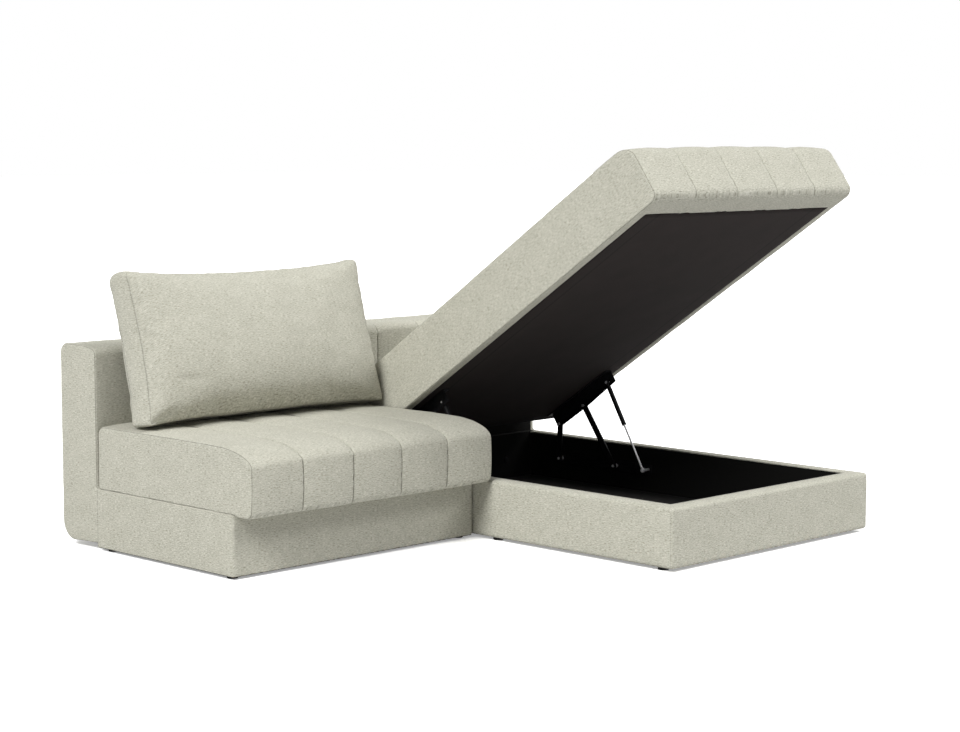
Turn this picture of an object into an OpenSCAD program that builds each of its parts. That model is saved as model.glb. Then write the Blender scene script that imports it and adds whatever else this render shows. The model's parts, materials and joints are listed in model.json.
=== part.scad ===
// Storage sofa in two modules: a seat module with a loose back pillow, and a chaise module whose
// seat lifts on a pair of four-bar linkages with gas struts and opens the storage box below it.
// It is drawn with the seat lifted. X runs right, Y runs back and Z up, in millimetres, and the
// origin is on the floor under the middle of the sofa.

/* [Sofa] */
// Width of each module
module_w = 1082; // [850:1:1300]
// Gap between the two modules
module_gap = 4; // [2:0.5:12]
// Height of the top of the seat base and of the storage box
base_top = 214; // [195:1:240]
// Height of the feet
foot_h = 11; // [6:0.5:30]
// Radius of the feet
foot_r = 18.5; // [12:0.5:25]
// Distance from a base's sides to the middle of a foot
foot_inset = 34; // [26:1:80]
// Distance from the ends of the seat base to the middle of a foot
seat_foot_inset = 45; // [30:1:80]
// Distance from the ends of the storage box to the middle of a foot
box_foot_inset = 67; // [30:1:90]
// Thickness of the fabric and wadding round the seat base
cover_t = 5; // [2:0.5:10]
// Thickness of the black cloth under the bases
dust_cloth_t = 1.5; // [1:0.5:3]

/* [Seat module] */
// Depth of the seat base, in front of the backrest
seat_base_depth = 738; // [600:1:900]
// Distance that the seat cushion stands out over its base
seat_overhang = 92; // [40:1:120]
// Thickness of the seat cushion at its sides
seat_cushion_t = 218; // [150:1:260]
// Gap between the seat cushion and the backrest
seat_rear_gap = 8; // [4:1:30]
// Thickness of the boards of the seat base
rail_t = 25; // [18:1:35]
// Number of webbing straps under the seat cushion
strap_count = 7; // [4:1:9]
// Width of a webbing strap
strap_w = 70; // [40:1:80]
// Thickness of a webbing strap
strap_t = 2; // [1:0.5:4]

/* [Upholstery] */
// Number of sewn channels across each module
channels = 5; // [3:1:7]
// Depth of the sewn channels
channel_depth = 7; // [3:0.5:12]
// Rise of the cushions' tops at mid width
crown = 6; // [0:0.5:14]
// Radius of the cushions' side edges
side_edge_r = 12; // [6:0.5:20]
// Length of the round shoulder at the front of the seat cushion
shoulder_len = 170; // [60:1:200]
// Height of the round shoulder at the front of the seat cushion
shoulder_h = 60; // [30:1:80]
// Length of the round shoulder at the front of the lifting seat
lid_shoulder_len = 58; // [40:1:120]
// Height of the round shoulder at the front of the lifting seat
lid_shoulder_h = 45; // [30:1:80]

/* [Backrest] */
// Thickness of the backrests
back_t = 206; // [180:1:260]
// Height of the top of the backrests
back_h = 703; // [600:1:850]
// Height of the bottom of the backrests
back_bottom = 18; // [14:1:40]
// Thickness of the channelled front pad
back_pad_t = 50; // [40:1:70]
// Thickness of the padded shell round the frame
back_shell_t = 20; // [12:1:28]
// Radius of the top edges
back_top_r = 30; // [15:1:45]
// Radius of the lower rear edge
back_low_r = 70; // [50:1:110]
// Width of the wooden posts and rails in the backrest
back_rail_w = 90; // [60:1:110]

/* [Back pillow] */
// Width of the loose back pillow
pillow_w = 1037; // [700:1:1070]
// Height of the loose back pillow
pillow_h = 503; // [400:1:560]
// Width of the band sewn between its faces
pillow_band_w = 87; // [60:1:110]
// Swell of its front face
pillow_front_swell = 62; // [30:1:80]
// Swell of its rear face
pillow_rear_swell = 104; // [30:1:105]
// Angle that it leans back
pillow_lean = 15.2; // [8:0.1:20]
// Distance of the pillow's middle in front of the backrest
pillow_forward = 160; // [155:1:240]
// Distance that the middle of a side is drawn in
pillow_draw = 20; // [5:1:30]

/* [Storage box] */
// Depth of the storage box, in front of the backrest
box_depth = 1651; // [1300:1:1800]
// Thickness of the padded cover round the box
box_pad_t = 24; // [12:1:30]
// Thickness of the box's wooden panels
panel_t = 33; // [18:1:36]
// Thickness of the black lining of the box
lining_t = 2; // [1:0.5:4]
// Thickness of the cover over the panels' top edges
lip_t = 5; // [3:0.5:8]
// Thickness of the box's floor
floor_t = 12; // [9:1:18]
// Height of the bearers under the box's floor
bearer_h = 14; // [10:1:30]
// Radius of the box's padded corners
box_corner_r = 20; // [10:1:23]

/* [Lifting seat] */
// Distance that the lifting seat stands out over the box when it is shut
lid_overhang = 80; // [40:1:110]
// Gap behind the lifting seat when it is shut
lid_rear_gap = 25; // [22:1:35]
// Gap between the lifting seat and each side of its module
lid_side_gap = 1.5; // [1:0.5:5]
// Gap between the shut seat and the box
lid_rest_gap = 1; // [0.5:0.5:5]
// Thickness of the lifting seat at its sides
lid_t = 223; // [190:1:235]
// Height of the wooden frame in the lifting seat
lid_rail_h = 42; // [30:1:60]
// Width of the frame's rails
lid_rail_w = 115; // [105:1:140]
// Thickness of the deck board on the frame
deck_t = 9; // [6:1:15]
// Width of the fabric border under the frame
border_w = 38; // [30:1:54]
// Thickness of the fabric and wadding round the frame
border_t = 6; // [3:0.5:10]

/* [Lift linkage] */
// Angle of the lifted seat
lift_angle = 33.5; // [32:0.1:34]
// Distance of the rear lower pivot in front of the backrest
rear_pivot_y = 216.9; // [214:0.1:222]
// Distance between the two lower pivots
lower_pivot_gap = 291.2; // [288:0.1:294]
// Height of the lower pivots above the floor
lower_pivot_z = 124; // [115:0.5:127]
// Length of the rear arm between its pivots
rear_arm_len = 141.9; // [140:0.1:144]
// Angle of the rear arm above the horizontal, when the seat is lifted
rear_arm_angle = 92.2; // [91:0.1:94]
// Distance between the two upper pivots
upper_pivot_gap = 153.5; // [152:0.1:156]
// Distance of the struts' lower stud in front of the front lower pivot
strut_stud_ahead = 165.5; // [158:0.1:170]
// Rise of the struts' lower stud above the lower pivots
strut_stud_rise = 2; // [0:0.5:6]
// Distance of the struts' upper stud in front of the rear upper pivot
strut_top_ahead = 323.2; // [314:0.1:330]
// Rise of the struts' upper stud above the upper pivots
strut_top_rise = 12.1; // [7:0.1:14]
// Width of the arms
arm_w = 26; // [20:1:30]
// Thickness of the arms
arm_t = 5; // [3:0.5:6]
// Thickness of the plates that carry the arms
plate_t = 3; // [2:0.5:4]
// Radius of the pivot pins
pin_r = 4; // [3:0.5:5]
// Distance from the box's wall to the arms
arm_stand_off = 18; // [17:0.5:21]

/* [Gas struts] */
// Radius of the strut cylinders
strut_r = 9; // [7:0.5:9.5]
// Length of the strut cylinders
strut_cylinder_len = 165; // [155:1:170]
// Radius of the strut rods
strut_rod_r = 4; // [3:0.5:4.5]
// Gap between the struts and the brackets that they lie beside
strut_gap = 0.5; // [0.5:0.1:2]

/* [Hidden] */
$fn = 48;

// Colours, as the photograph shows them
fabric = [0.73, 0.725, 0.67];
wood = [0.76, 0.62, 0.42];
black_cloth = [0.07, 0.07, 0.07];
black_steel = [0.05, 0.05, 0.055];
bright_steel = [0.72, 0.72, 0.74];
black_plastic = [0.04, 0.04, 0.04];

// Clearances, and the overrun of every cut
seat_gap = 0.3;
pin_gap = 0.05;
over = 1;

// Where the modules stand
total_w = 2 * module_w + module_gap;
total_d = box_depth + back_t;
seat_x = -total_w / 2;
chaise_x = seat_x + module_w + module_gap;
back_y = total_d / 2 - back_t;
wall_t = box_pad_t + panel_t + lining_t;
base_h = base_top - foot_h;

// Fits a board of size d, in the middle of x, or at one side of it
function mid(x, w, d) = x + (w - d) / 2;

module block(x, y, z, w, d, h) {
    translate([x, y, z]) cube([w, d, h]);
}

// Copies a sub-part at both sides of the chaise module, as mirror images
module both_sides() {
    children();
    mirror_chaise() children();
}

module mirror_chaise() {
    centre_x = chaise_x + module_w / 2;
    translate([centre_x, 0, 0]) mirror([1, 0, 0]) translate([-centre_x, 0, 0]) children();
}

// Seat module: a frame of boards with webbing, in a padded cover
seat_y = back_y - seat_base_depth;
rail_top = base_top - strap_t;
seat_rail_h = rail_top - foot_h;
seat_cross_count = 2;

module seat_front_rail() {
    color(wood)
        block(seat_x + cover_t, seat_y + cover_t, foot_h, module_w - 2 * cover_t, rail_t, seat_rail_h);
}

module seat_rear_rail() {
    color(wood) difference() {
        block(seat_x + cover_t, back_y - rail_t, foot_h, module_w - 2 * cover_t, rail_t, seat_rail_h);
        bolt_holes(seat_x, bolt_r + pin_gap);
    }
}

module seat_side_rails() {
    length = seat_base_depth - cover_t - 2 * rail_t;
    color(wood) difference() {
        for (x = [seat_x + cover_t, seat_x + module_w - cover_t - rail_t])
            block(x, seat_y + cover_t + rail_t, foot_h, rail_t, length, seat_rail_h);
        link_screw_holes();
    }
}

module seat_cross_rails() {
    inner_x = seat_x + cover_t + rail_t;
    inner_w = module_w - 2 * (cover_t + rail_t);
    step = inner_w / (seat_cross_count + 1);
    drop = strap_w / 2;
    length = seat_base_depth - cover_t - 2 * rail_t;
    color(wood)
        for (i = [1:seat_cross_count])
            block(inner_x + i * step - rail_t / 2, seat_y + cover_t + rail_t, foot_h, rail_t, length,
                  seat_rail_h - drop);
}

module seat_webbing() {
    step = (module_w - 2 * cover_t) / strap_count;
    color(black_cloth)
        for (i = [0:strap_count - 1])
            block(seat_x + cover_t + mid(i * step, step, strap_w), seat_y + cover_t, rail_top,
                  strap_w, seat_base_depth - cover_t, strap_t);
}

module seat_base_cover() {
    color(fabric) difference() {
        block(seat_x, seat_y, foot_h, module_w, seat_base_depth, base_h);
        block(seat_x + cover_t, seat_y + cover_t, foot_h - over, module_w - 2 * cover_t,
              seat_base_depth, base_h + 2 * over);
    }
}

module seat_dust_cloth() {
    color(black_cloth) difference() {
        block(seat_x + cover_t, seat_y + cover_t, foot_h - dust_cloth_t, module_w - 2 * cover_t,
              seat_base_depth - cover_t, dust_cloth_t);
        seat_feet_at(foot_r + seat_gap, over);
        for (y = link_ys)
            block(link_x - link_len / 2 - seat_gap, y - link_w / 2 - seat_gap, 0, link_len,
                  link_w + 2 * seat_gap, foot_h + over);
    }
}

module seat_feet() {
    color(black_plastic) seat_feet_at(foot_r);
}

module seat_feet_at(r, tall = 0) {
    for (x = [seat_x + foot_inset, seat_x + module_w - foot_inset])
        for (y = [seat_y + seat_foot_inset, back_y - seat_foot_inset])
            translate([x, y, 0]) cylinder(r=r, h=foot_h + tall);
}

// Soft forms. A profile is a closed outline of [forward, up, swell share], where the share is how
// much of the channels and the crown a point takes. A skin closes a row of such outlines.
arc_steps = 5;
top_steps = 3;
channel_steps = 6;

function ellipse_arc(cf, cu, rf, ru, from, to, share_from, share_to) = [
    for (i = [0:arc_steps])
        let (k = i / arc_steps, a = from + k * (to - from))
        [cf + rf * cos(a), cu + ru * sin(a), share_from + k * (share_to - share_from)]
];

// Outline of a seat cushion: up the back, over the top and round the shoulder, without its toe
function seat_profile(length, t, rear_r, shoulder) = concat(
    [[0, 0, 0]],
    ellipse_arc(rear_r, t - rear_r, rear_r, rear_r, 180, 90, 0, 1),
    [for (i = [1:top_steps])
        let (k = i / (top_steps + 1), a = rear_r, b = length - shoulder[0])
        [a + k * (b - a), t, 1]],
    ellipse_arc(length - shoulder[0], t - shoulder[1], shoulder[0], shoulder[1], 90, 0, 1, 1));
function toe_arc(length, up, r) = ellipse_arc(length - r, up + r, r, r, 0, -90, 1, 0);

// Outline of a backrest's front pad, standing: up the rear face, over the top and down the front
function pad_profile(t, h, top_r, toe_r) = concat(
    [[0, 0, 0], [0, h, 0]],
    ellipse_arc(t - top_r, h - top_r, top_r, top_r, 90, 0, 0, 1),
    [for (i = [1:top_steps]) let (k = i / (top_steps + 1)) [t, h - top_r - k * (h - top_r - toe_r), 1]],
    toe_arc(t, 0, toe_r));

function outward(profile, j) =
    let (n = len(profile), a = profile[(j + n - 1) % n], b = profile[(j + 1) % n],
         d = [b[0] - a[0], b[1] - a[1]])
    [-d[1], d[0]] / norm(d);

// Rounds the side edges: how far an outline shrinks at a distance from the nearer end
function edge_shrink(x, w) =
    let (near = min(x, w - x))
    near >= side_edge_r ? 0 : side_edge_r * (1 - sqrt(1 - pow(1 - near / side_edge_r, 2)));

// Depth of the surface below a channel's own crown, and the rise of the whole top
channel_sharpness = 0.55;
function channel_sink(x, w) =
    let (part = x * channels / w, k = part - floor(part))
    channel_depth * (1 - pow(max(0, sin(180 * k)), channel_sharpness));
function crown_rise(x, w) = crown * (1 - pow(2 * x / w - 1, 2));

edge_shares = [0, 0.2, 0.6];
function stations(w) = concat(
    [for (s = edge_shares) s * side_edge_r],
    [for (i = [1:channels * channel_steps - 1]) i * w / (channels * channel_steps)],
    [for (i = [len(edge_shares) - 1:-1:0]) w - edge_shares[i] * side_edge_r]);

// One outline of a channelled form, at x across a width w; forward is -Y
function form_ring(profile, x, w) = [
    for (j = [0:len(profile) - 1])
        let (p = profile[j], n = outward(profile, j),
             off = p[2] * (crown_rise(x, w) - channel_sink(x, w) - edge_shrink(x, w)))
        [x, -p[0] - n[0] * off, p[1] + n[1] * off]
];

// A hub, as [forward, up], is where the triangles of an end meet when its middle won't do
module skin(rings, hub) {
    n = len(rings[0]);
    m = len(rings);
    ends = [for (r = [rings[0], rings[m - 1]])
        is_undef(hub) ? [for (p = r) 1] * r / n : [r[0][0], -hub[0], hub[1]]];
    sides = [for (i = [0:m - 2], j = [0:n - 1])
        let (a = i * n + j, b = i * n + (j + 1) % n)
        each [[a, b, b + n], [a, b + n, a + n]]];
    first = [for (j = [0:n - 1]) [m * n, (j + 1) % n, j]];
    last = [for (j = [0:n - 1]) [m * n + 1, (m - 1) * n + j, (m - 1) * n + (j + 1) % n]];
    polyhedron(points=concat([for (r = rings) each r], ends), faces=concat(sides, first, last));
}

module channelled(profile, w, hub) {
    skin([for (x = stations(w)) form_ring(profile, x, w)], hub);
}

seat_rear_r = 30;
seat_toe_r = 20;
cushion_side_gap = 2;

module seat_cushion() {
    length = seat_base_depth + seat_overhang - seat_rear_gap;
    color(fabric)
        translate([seat_x + cushion_side_gap, back_y - seat_rear_gap, base_top + seat_gap])
            channelled(concat(seat_profile(length, seat_cushion_t, seat_rear_r,
                                           [shoulder_len, shoulder_h]),
                              toe_arc(length, 0, seat_toe_r)),
                       module_w - 2 * cushion_side_gap);
}

// Backrests: a padded shell round a wooden frame, closed in front by a channelled pad
back_step_z = base_top + seat_gap;
back_cavity_t = back_t - back_pad_t - back_shell_t;
back_cavity_w = module_w - 2 * back_shell_t;
back_cavity_h = back_h - back_bottom - 2 * back_shell_t;
post_w = 45;
bolt_r = 5;
bolt_head_r = 11;
bolt_head_h = 4;
bolt_z = (foot_h + base_top) / 2;
bolt_inset = 200;

function back_shell_points() = concat(
    [[0, back_bottom], [0, back_step_z], [back_pad_t, back_step_z], [back_pad_t, back_h]],
    [for (p = ellipse_arc(back_t - back_top_r, back_h - back_top_r, back_top_r, back_top_r, 90, 0, 0, 0))
        [p[0], p[1]]],
    [for (p = ellipse_arc(back_t - back_low_r, back_bottom + back_low_r, back_low_r, back_low_r,
                          0, -90, 0, 0))
        [p[0], p[1]]]);

// Extrudes an outline drawn in [back, up] across a module
module across(x, w) {
    translate([x, back_y, 0]) rotate([90, 0, 90]) linear_extrude(w) children();
}

module back_shell(x) {
    low_z = back_bottom + back_shell_t;
    color(fabric) difference() {
        across(x, module_w) polygon(back_shell_points());
        across(x + back_shell_t, back_cavity_w)
            polygon([[-over, low_z], [back_t - back_low_r, low_z],
                     [back_t - back_shell_t, back_bottom + back_low_r],
                     [back_t - back_shell_t, back_h - back_top_r],
                     [back_t - back_top_r, back_h - back_shell_t],
                     [back_pad_t - over, back_h - back_shell_t],
                     [back_pad_t - over, back_step_z + over], [-over, back_step_z + over]]);
    }
}

module back_pad(x) {
    toe_r = back_shell_t / 2;
    color(fabric)
        translate([x, back_y + back_pad_t, back_step_z])
            channelled(pad_profile(back_pad_t, back_h - back_step_z, back_top_r, toe_r), module_w);
}

module back_posts(x) {
    depth = back_cavity_t - back_rail_w / 2;
    color(wood)
        for (px = [x + back_shell_t, x + module_w - back_shell_t - post_w])
            block(px, back_y + back_pad_t, back_bottom + back_low_r, post_w, depth,
                  back_h - back_bottom - back_low_r - back_shell_t - back_top_r / 2);
}

module back_rails(x) {
    rail_x = x + back_shell_t + post_w;
    length = back_cavity_w - 2 * post_w;
    color(wood) {
        for (z = [back_bottom + back_low_r + back_rail_w, back_h - back_shell_t - back_top_r - back_rail_w])
            block(rail_x, back_y + back_pad_t, z, length, rail_t, back_rail_w);
        difference() {
            block(x + back_shell_t, back_y, bolt_z - back_rail_w / 2, back_cavity_w, back_pad_t,
                  back_rail_w);
            bolt_holes(x, bolt_r + pin_gap);
        }
    }
}

module bolt_holes(x, r) {
    for (bx = [x + bolt_inset, x + module_w - bolt_inset])
        translate([bx, back_y - panel_t - lining_t - over, bolt_z]) rotate([-90, 0, 0])
            cylinder(r=r, h=panel_t + lining_t + back_pad_t - rail_t / 2 + over);
}

// Bolts through the rear board of each base into the lower rail of its backrest
module back_bolts() {
    shank = back_pad_t - rail_t;
    color(black_steel)
        for (x = [[seat_x, rail_t], [chaise_x, panel_t + lining_t]])
            for (bx = [x[0] + bolt_inset, x[0] + module_w - bolt_inset])
                translate([bx, back_y - x[1], bolt_z]) rotate([-90, 0, 0]) {
                    cylinder(r=bolt_r, h=x[1] + shank);
                    translate([0, 0, -bolt_head_h]) cylinder(r=bolt_head_r, h=bolt_head_h);
                }
}

// Loose back pillow: two swelling faces sewn to a band, with its sides drawn in between corners
pillow_across = 16;
pillow_up = 9;
swell_sharpness = 0.62;
pillow_side_gap = 11;
pillow_z = base_top + seat_cushion_t + crown + 2 * seat_gap;

function swell(u, v) = pow(max(0, (1 - u * u) * (1 - v * v)), swell_sharpness);
function pillow_point(u, v, front) = [
    pillow_w / 2 * u - pillow_draw * u * (1 - v * v),
    front ? -pillow_band_w / 2 - pillow_front_swell * swell(u, v)
          : pillow_band_w / 2 + pillow_rear_swell * swell(u, v),
    pillow_h / 2 * v - pillow_draw * max(0, v) * (1 - u * u)
];
function pillow_ring(u) = concat(
    [for (j = [0:pillow_up]) pillow_point(u, 2 * j / pillow_up - 1, false)],
    [for (j = [pillow_up:-1:0]) pillow_point(u, 2 * j / pillow_up - 1, true)]);
// Height of the pillow's lowest point below its middle, once it leans back
pillow_below = max([for (i = [0:pillow_across]) for (p = pillow_ring(2 * i / pillow_across - 1))
    -p[2] * cos(pillow_lean) + p[1] * sin(pillow_lean)]);

module back_pillow() {
    color(fabric)
        translate([seat_x + module_w - pillow_side_gap - pillow_w / 2, back_y - pillow_forward,
                   pillow_z + pillow_below])
            rotate([-pillow_lean, 0, 0])
                skin([for (i = [0:pillow_across]) pillow_ring(2 * i / pillow_across - 1)]);
}

// Storage box: four panels and a floor, in a padded cover outside and a black lining inside
box_y = back_y - box_depth;
panel_top = base_top - lip_t;
panel_h = panel_top - foot_h;
inner_x = chaise_x + wall_t;
inner_w = module_w - 2 * wall_t;
inner_y = box_y + wall_t;
inner_rear_y = back_y - panel_t - lining_t;
floor_z = foot_h + bearer_h;
bearer_count = 4;
bearer_w = 60;

module box_front_panel() {
    color(wood)
        block(chaise_x + box_pad_t, box_y + box_pad_t, foot_h, module_w - 2 * box_pad_t, panel_t, panel_h);
}

module box_rear_panel() {
    color(wood) difference() {
        block(chaise_x + box_pad_t, back_y - panel_t, foot_h, module_w - 2 * box_pad_t, panel_t, panel_h);
        bolt_holes(chaise_x, bolt_r + pin_gap);
    }
}

module box_side_panel() {
    block(chaise_x + module_w - box_pad_t - panel_t, box_y + box_pad_t + panel_t, foot_h, panel_t,
          box_depth - box_pad_t - 2 * panel_t, panel_h);
}

module box_left_panel() {
    color(wood) difference() {
        mirror_chaise() box_side_panel();
        mirror_chaise() plate_screws_at(screw_r + pin_gap, plate_t + screw_grip);
        link_screw_holes();
    }
}

module box_right_panel() {
    color(wood) difference() {
        box_side_panel();
        plate_screws_at(screw_r + pin_gap, plate_t + screw_grip);
    }
}

module box_floor() {
    color(black_cloth)
        block(inner_x, inner_y, floor_z, inner_w, inner_rear_y - inner_y, floor_t);
}

module box_bearers() {
    step = (inner_rear_y - inner_y - bearer_w) / (bearer_count - 1);
    color(wood)
        for (i = [0:bearer_count - 1])
            block(inner_x, inner_y + i * step, foot_h, inner_w, bearer_w, bearer_h);
}

module box_cover() {
    color(fabric) difference() {
        translate([chaise_x, box_y, foot_h]) linear_extrude(base_h) {
            translate([box_corner_r, box_corner_r]) offset(r=box_corner_r)
                square([module_w - 2 * box_corner_r, box_depth - 2 * box_corner_r]);
            translate([0, box_depth / 2]) square([module_w, box_depth / 2]);
        }
        block(chaise_x + box_pad_t, box_y + box_pad_t, foot_h - over, module_w - 2 * box_pad_t,
              box_depth, panel_h + over);
        block(inner_x, inner_y, foot_h, inner_w, inner_rear_y - inner_y, base_h + over);
    }
}

module box_lining() {
    color(black_cloth) difference() {
        block(inner_x - lining_t, inner_y - lining_t, foot_h, inner_w + 2 * lining_t,
              inner_rear_y - inner_y + 2 * lining_t, panel_h);
        block(inner_x, inner_y, foot_h - over, inner_w, inner_rear_y - inner_y, panel_h + 2 * over);
        both_sides() plate_screws_at(screw_r + pin_gap, plate_t + screw_grip);
        bolt_holes(chaise_x, bolt_r + pin_gap);
    }
}

module box_feet() {
    rows = [box_y + box_foot_inset, back_y - box_depth / 2, back_y - box_foot_inset];
    color(black_plastic)
        for (x = [chaise_x + foot_inset, chaise_x + module_w - foot_inset])
            for (y = rows)
                translate([x, y, 0]) cylinder(r=foot_r, h=foot_h);
}

// Steel links under the modules, which hold them side by side
link_len = 120;
link_w = 40;
link_t = 3;
link_screw_r = 3;
link_screw_len = 25;
link_head_r = 5.5;
link_head_h = 2.5;
link_shares = [0.22, 0.8];
link_ys = [for (k = link_shares) back_y - k * seat_base_depth];
link_x = seat_x + module_w + module_gap / 2;
link_screw_out = [cover_t + module_gap / 2 + rail_t / 2, box_pad_t + module_gap / 2 + panel_t / 2];

module link_screw_at(r, z0, z1) {
    for (y = link_ys)
        for (x = [link_x - link_screw_out[0], link_x + link_screw_out[1]])
            translate([x, y, z0]) cylinder(r=r, h=z1 - z0);
}

module link_screw_holes() {
    link_screw_at(link_screw_r + pin_gap, foot_h - link_t - over, foot_h + link_screw_len + over);
}

module module_links() {
    color(black_steel) difference() {
        for (y = link_ys)
            block(link_x - link_len / 2, y - link_w / 2, foot_h - link_t, link_len, link_w, link_t);
        link_screw_holes();
    }
}

module link_screws() {
    color(bright_steel) {
        link_screw_at(link_screw_r, foot_h - link_t, foot_h + link_screw_len);
        link_screw_at(link_head_r, foot_h - link_t - link_head_h, foot_h - link_t);
    }
}

// Lift linkage, in points of [y, z]: the rear arm, the front arm and the seat on the box are a
// four-bar. It is solved for the shut seat, and the seat is drawn shut and then lifted.
pivot_rear = [back_y - rear_pivot_y, lower_pivot_z];
pivot_front = pivot_rear - [lower_pivot_gap, 0];
strut_stud = pivot_front + [-strut_stud_ahead, strut_stud_rise];
open_rear = pivot_rear + rear_arm_len * [cos(rear_arm_angle), sin(rear_arm_angle)];
open_front = open_rear + upper_pivot_gap * [-cos(lift_angle), sin(lift_angle)];
front_arm_len = norm(open_front - pivot_front);
circle_gap = lower_pivot_gap - upper_pivot_gap;
shut_reach = (pow(front_arm_len, 2) - pow(rear_arm_len, 2) + pow(circle_gap, 2)) / (2 * circle_gap);
shut_rise = sqrt(pow(front_arm_len, 2) - pow(shut_reach, 2));
shut_front = pivot_front + [shut_reach, shut_rise];
shut_rear = shut_front + [upper_pivot_gap, 0];
shut_strut_top = shut_rear + [-strut_top_ahead, strut_top_rise];
open_strut_top = open_rear + strut_top_ahead * [-cos(lift_angle), sin(lift_angle)]
    + strut_top_rise * [sin(lift_angle), cos(lift_angle)];

wall_x = chaise_x + module_w - wall_t;
side_gap = 1;
collar_r = 9;
head_r = 5.5;
head_h = 3;
play = 0.5;
arm_x = wall_x - arm_stand_off - arm_t;
bracket_x = arm_x - side_gap - plate_t;
plate_x = wall_x - plate_t;
plate_h = 40;
plate_end = 20;
screw_r = 3;
screw_grip = 27;
screw_head_r = 5;
screw_head_h = 2;
screw_shares = [0.14, 0.5, 0.86];

// Extrudes an outline drawn in [y, z] to the right from x
module upright(x, t) {
    translate([x, 0, 0]) rotate([90, 0, 90]) linear_extrude(t) children();
}

// A pin along X at a point of [y, z]
module pin_at(p, x0, x1, r) {
    translate([x0, p[0], p[1]]) rotate([0, 90, 0]) cylinder(r=r, h=x1 - x0);
}

module bar(p, q, w) {
    d = q - p;
    translate(p) rotate(atan2(d[1], d[0])) {
        translate([0, -w / 2]) square([norm(d), w]);
        circle(w / 2);
        translate([norm(d), 0]) circle(w / 2);
    }
}

// Lifts what is drawn on the shut seat
module lifted() {
    translate([0, open_rear[0], open_rear[1]]) rotate([-lift_angle, 0, 0])
        translate([0, -shut_rear[0], -shut_rear[1]]) children();
}

plate_screws = concat(
    [for (s = screw_shares) pivot_rear - [s * lower_pivot_gap, plate_h / 4]],
    [pivot_front - [strut_stud_ahead / 2, plate_h / 4]]);

module plate_screws_at(r, length) {
    for (p = plate_screws)
        pin_at(p, plate_x, plate_x + length, r);
}

module lower_plate() {
    color(black_steel) difference() {
        upright(plate_x, plate_t)
            translate([strut_stud[0] - plate_end, lower_pivot_z - plate_h / 2])
                square([pivot_rear[0] - strut_stud[0] + 2 * plate_end, plate_h]);
        for (p = [pivot_rear, pivot_front, strut_stud])
            pin_at(p, plate_x - over, wall_x + over, pin_r + pin_gap);
        translate([-over, 0, 0]) plate_screws_at(screw_r + pin_gap, plate_t + 2 * over);
    }
}

module lower_plate_left() {
    mirror_chaise() lower_plate();
}

module lower_plate_right() {
    lower_plate();
}

module lower_plate_screws() {
    color(black_steel) both_sides() {
        plate_screws_at(screw_r, plate_t + screw_grip - over);
        for (p = plate_screws)
            pin_at(p, plate_x - screw_head_h, plate_x, screw_head_r);
    }
}

// Shouldered pins, fixed in the lower plates, on which the arms turn
module lower_pivot_pins() {
    color(bright_steel) both_sides()
        for (p = [pivot_rear, pivot_front]) {
            pin_at(p, arm_x - play, wall_x, pin_r);
            pin_at(p, arm_x + arm_t + play, plate_x, collar_r);
            pin_at(p, arm_x - play - head_h, arm_x - play, head_r);
        }
}

module arm(p, q) {
    color(black_steel) upright(arm_x, arm_t) difference() {
        bar(p, q, arm_w);
        for (c = [p, q])
            translate(c) circle(pin_r + pin_gap);
    }
}

module rear_arm_left() {
    mirror_chaise() arm(pivot_rear, open_rear);
}

module rear_arm_right() {
    arm(pivot_rear, open_rear);
}

module front_arm_left() {
    mirror_chaise() arm(pivot_front, open_front);
}

module front_arm_right() {
    arm(pivot_front, open_front);
}

// The front arms' upper pivots are opened: each arm keeps its own half of the rivet
module front_arm_rivets() {
    color(bright_steel) both_sides() {
        pin_at(open_front, arm_x, arm_x + arm_t, pin_r);
        pin_at(open_front, arm_x + arm_t, arm_x + arm_t + head_h, head_r);
    }
}

// Lifting seat, from its underside up: black cloth and fabric border, wooden frame, deck, cushion
lid_x = chaise_x + lid_side_gap;
lid_w = module_w - 2 * lid_side_gap;
lid_len = box_depth + lid_overhang - lid_rear_gap;
lid_y = back_y - box_depth - lid_overhang;
lid_rear_y = back_y - lid_rear_gap;
lid_z = base_top + lid_rest_gap;
lid_toe = 100;
lid_cloth_t = 2;
lid_rear_r = 45;
lid_toe_r = 20;
frame_x = lid_x + border_t;
frame_w = lid_w - 2 * border_t;
frame_y = lid_y + lid_toe;
frame_rear_y = lid_rear_y - border_t;
frame_z = lid_z + lid_cloth_t;
frame_top = frame_z + lid_rail_h;
deck_top = frame_top + deck_t;
end_rail_w = 60;
cross_rail_count = 3;
bracket_ear = 14;
bracket_nose = 34;
flange_w = 30;

module lid_side_rails() {
    color(wood) lifted() difference() {
        for (x = [frame_x, frame_x + frame_w - lid_rail_w])
            block(x, frame_y + end_rail_w, frame_z, lid_rail_w,
                  frame_rear_y - frame_y - 2 * end_rail_w, lid_rail_h);
        both_sides() bracket_screws_at(screw_r + pin_gap, screw_grip);
    }
}

module lid_end_rails() {
    color(wood) lifted() difference() {
        for (y = [frame_y, frame_rear_y - end_rail_w])
            block(frame_x, y, frame_z, frame_w, end_rail_w, lid_rail_h);
        both_sides() bracket_screws_at(screw_r + pin_gap, screw_grip);
    }
}

module lid_cross_rails() {
    first = frame_y + end_rail_w;
    step = (frame_rear_y - end_rail_w - first) / (cross_rail_count + 1);
    color(wood) lifted()
        for (i = [1:cross_rail_count])
            block(frame_x + lid_rail_w, first + i * step - end_rail_w / 2, frame_z,
                  frame_w - 2 * lid_rail_w, end_rail_w, lid_rail_h);
}

module lid_deck() {
    color(wood) lifted()
        block(frame_x, frame_y, frame_top, frame_w, frame_rear_y - frame_y, deck_t);
}

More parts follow.
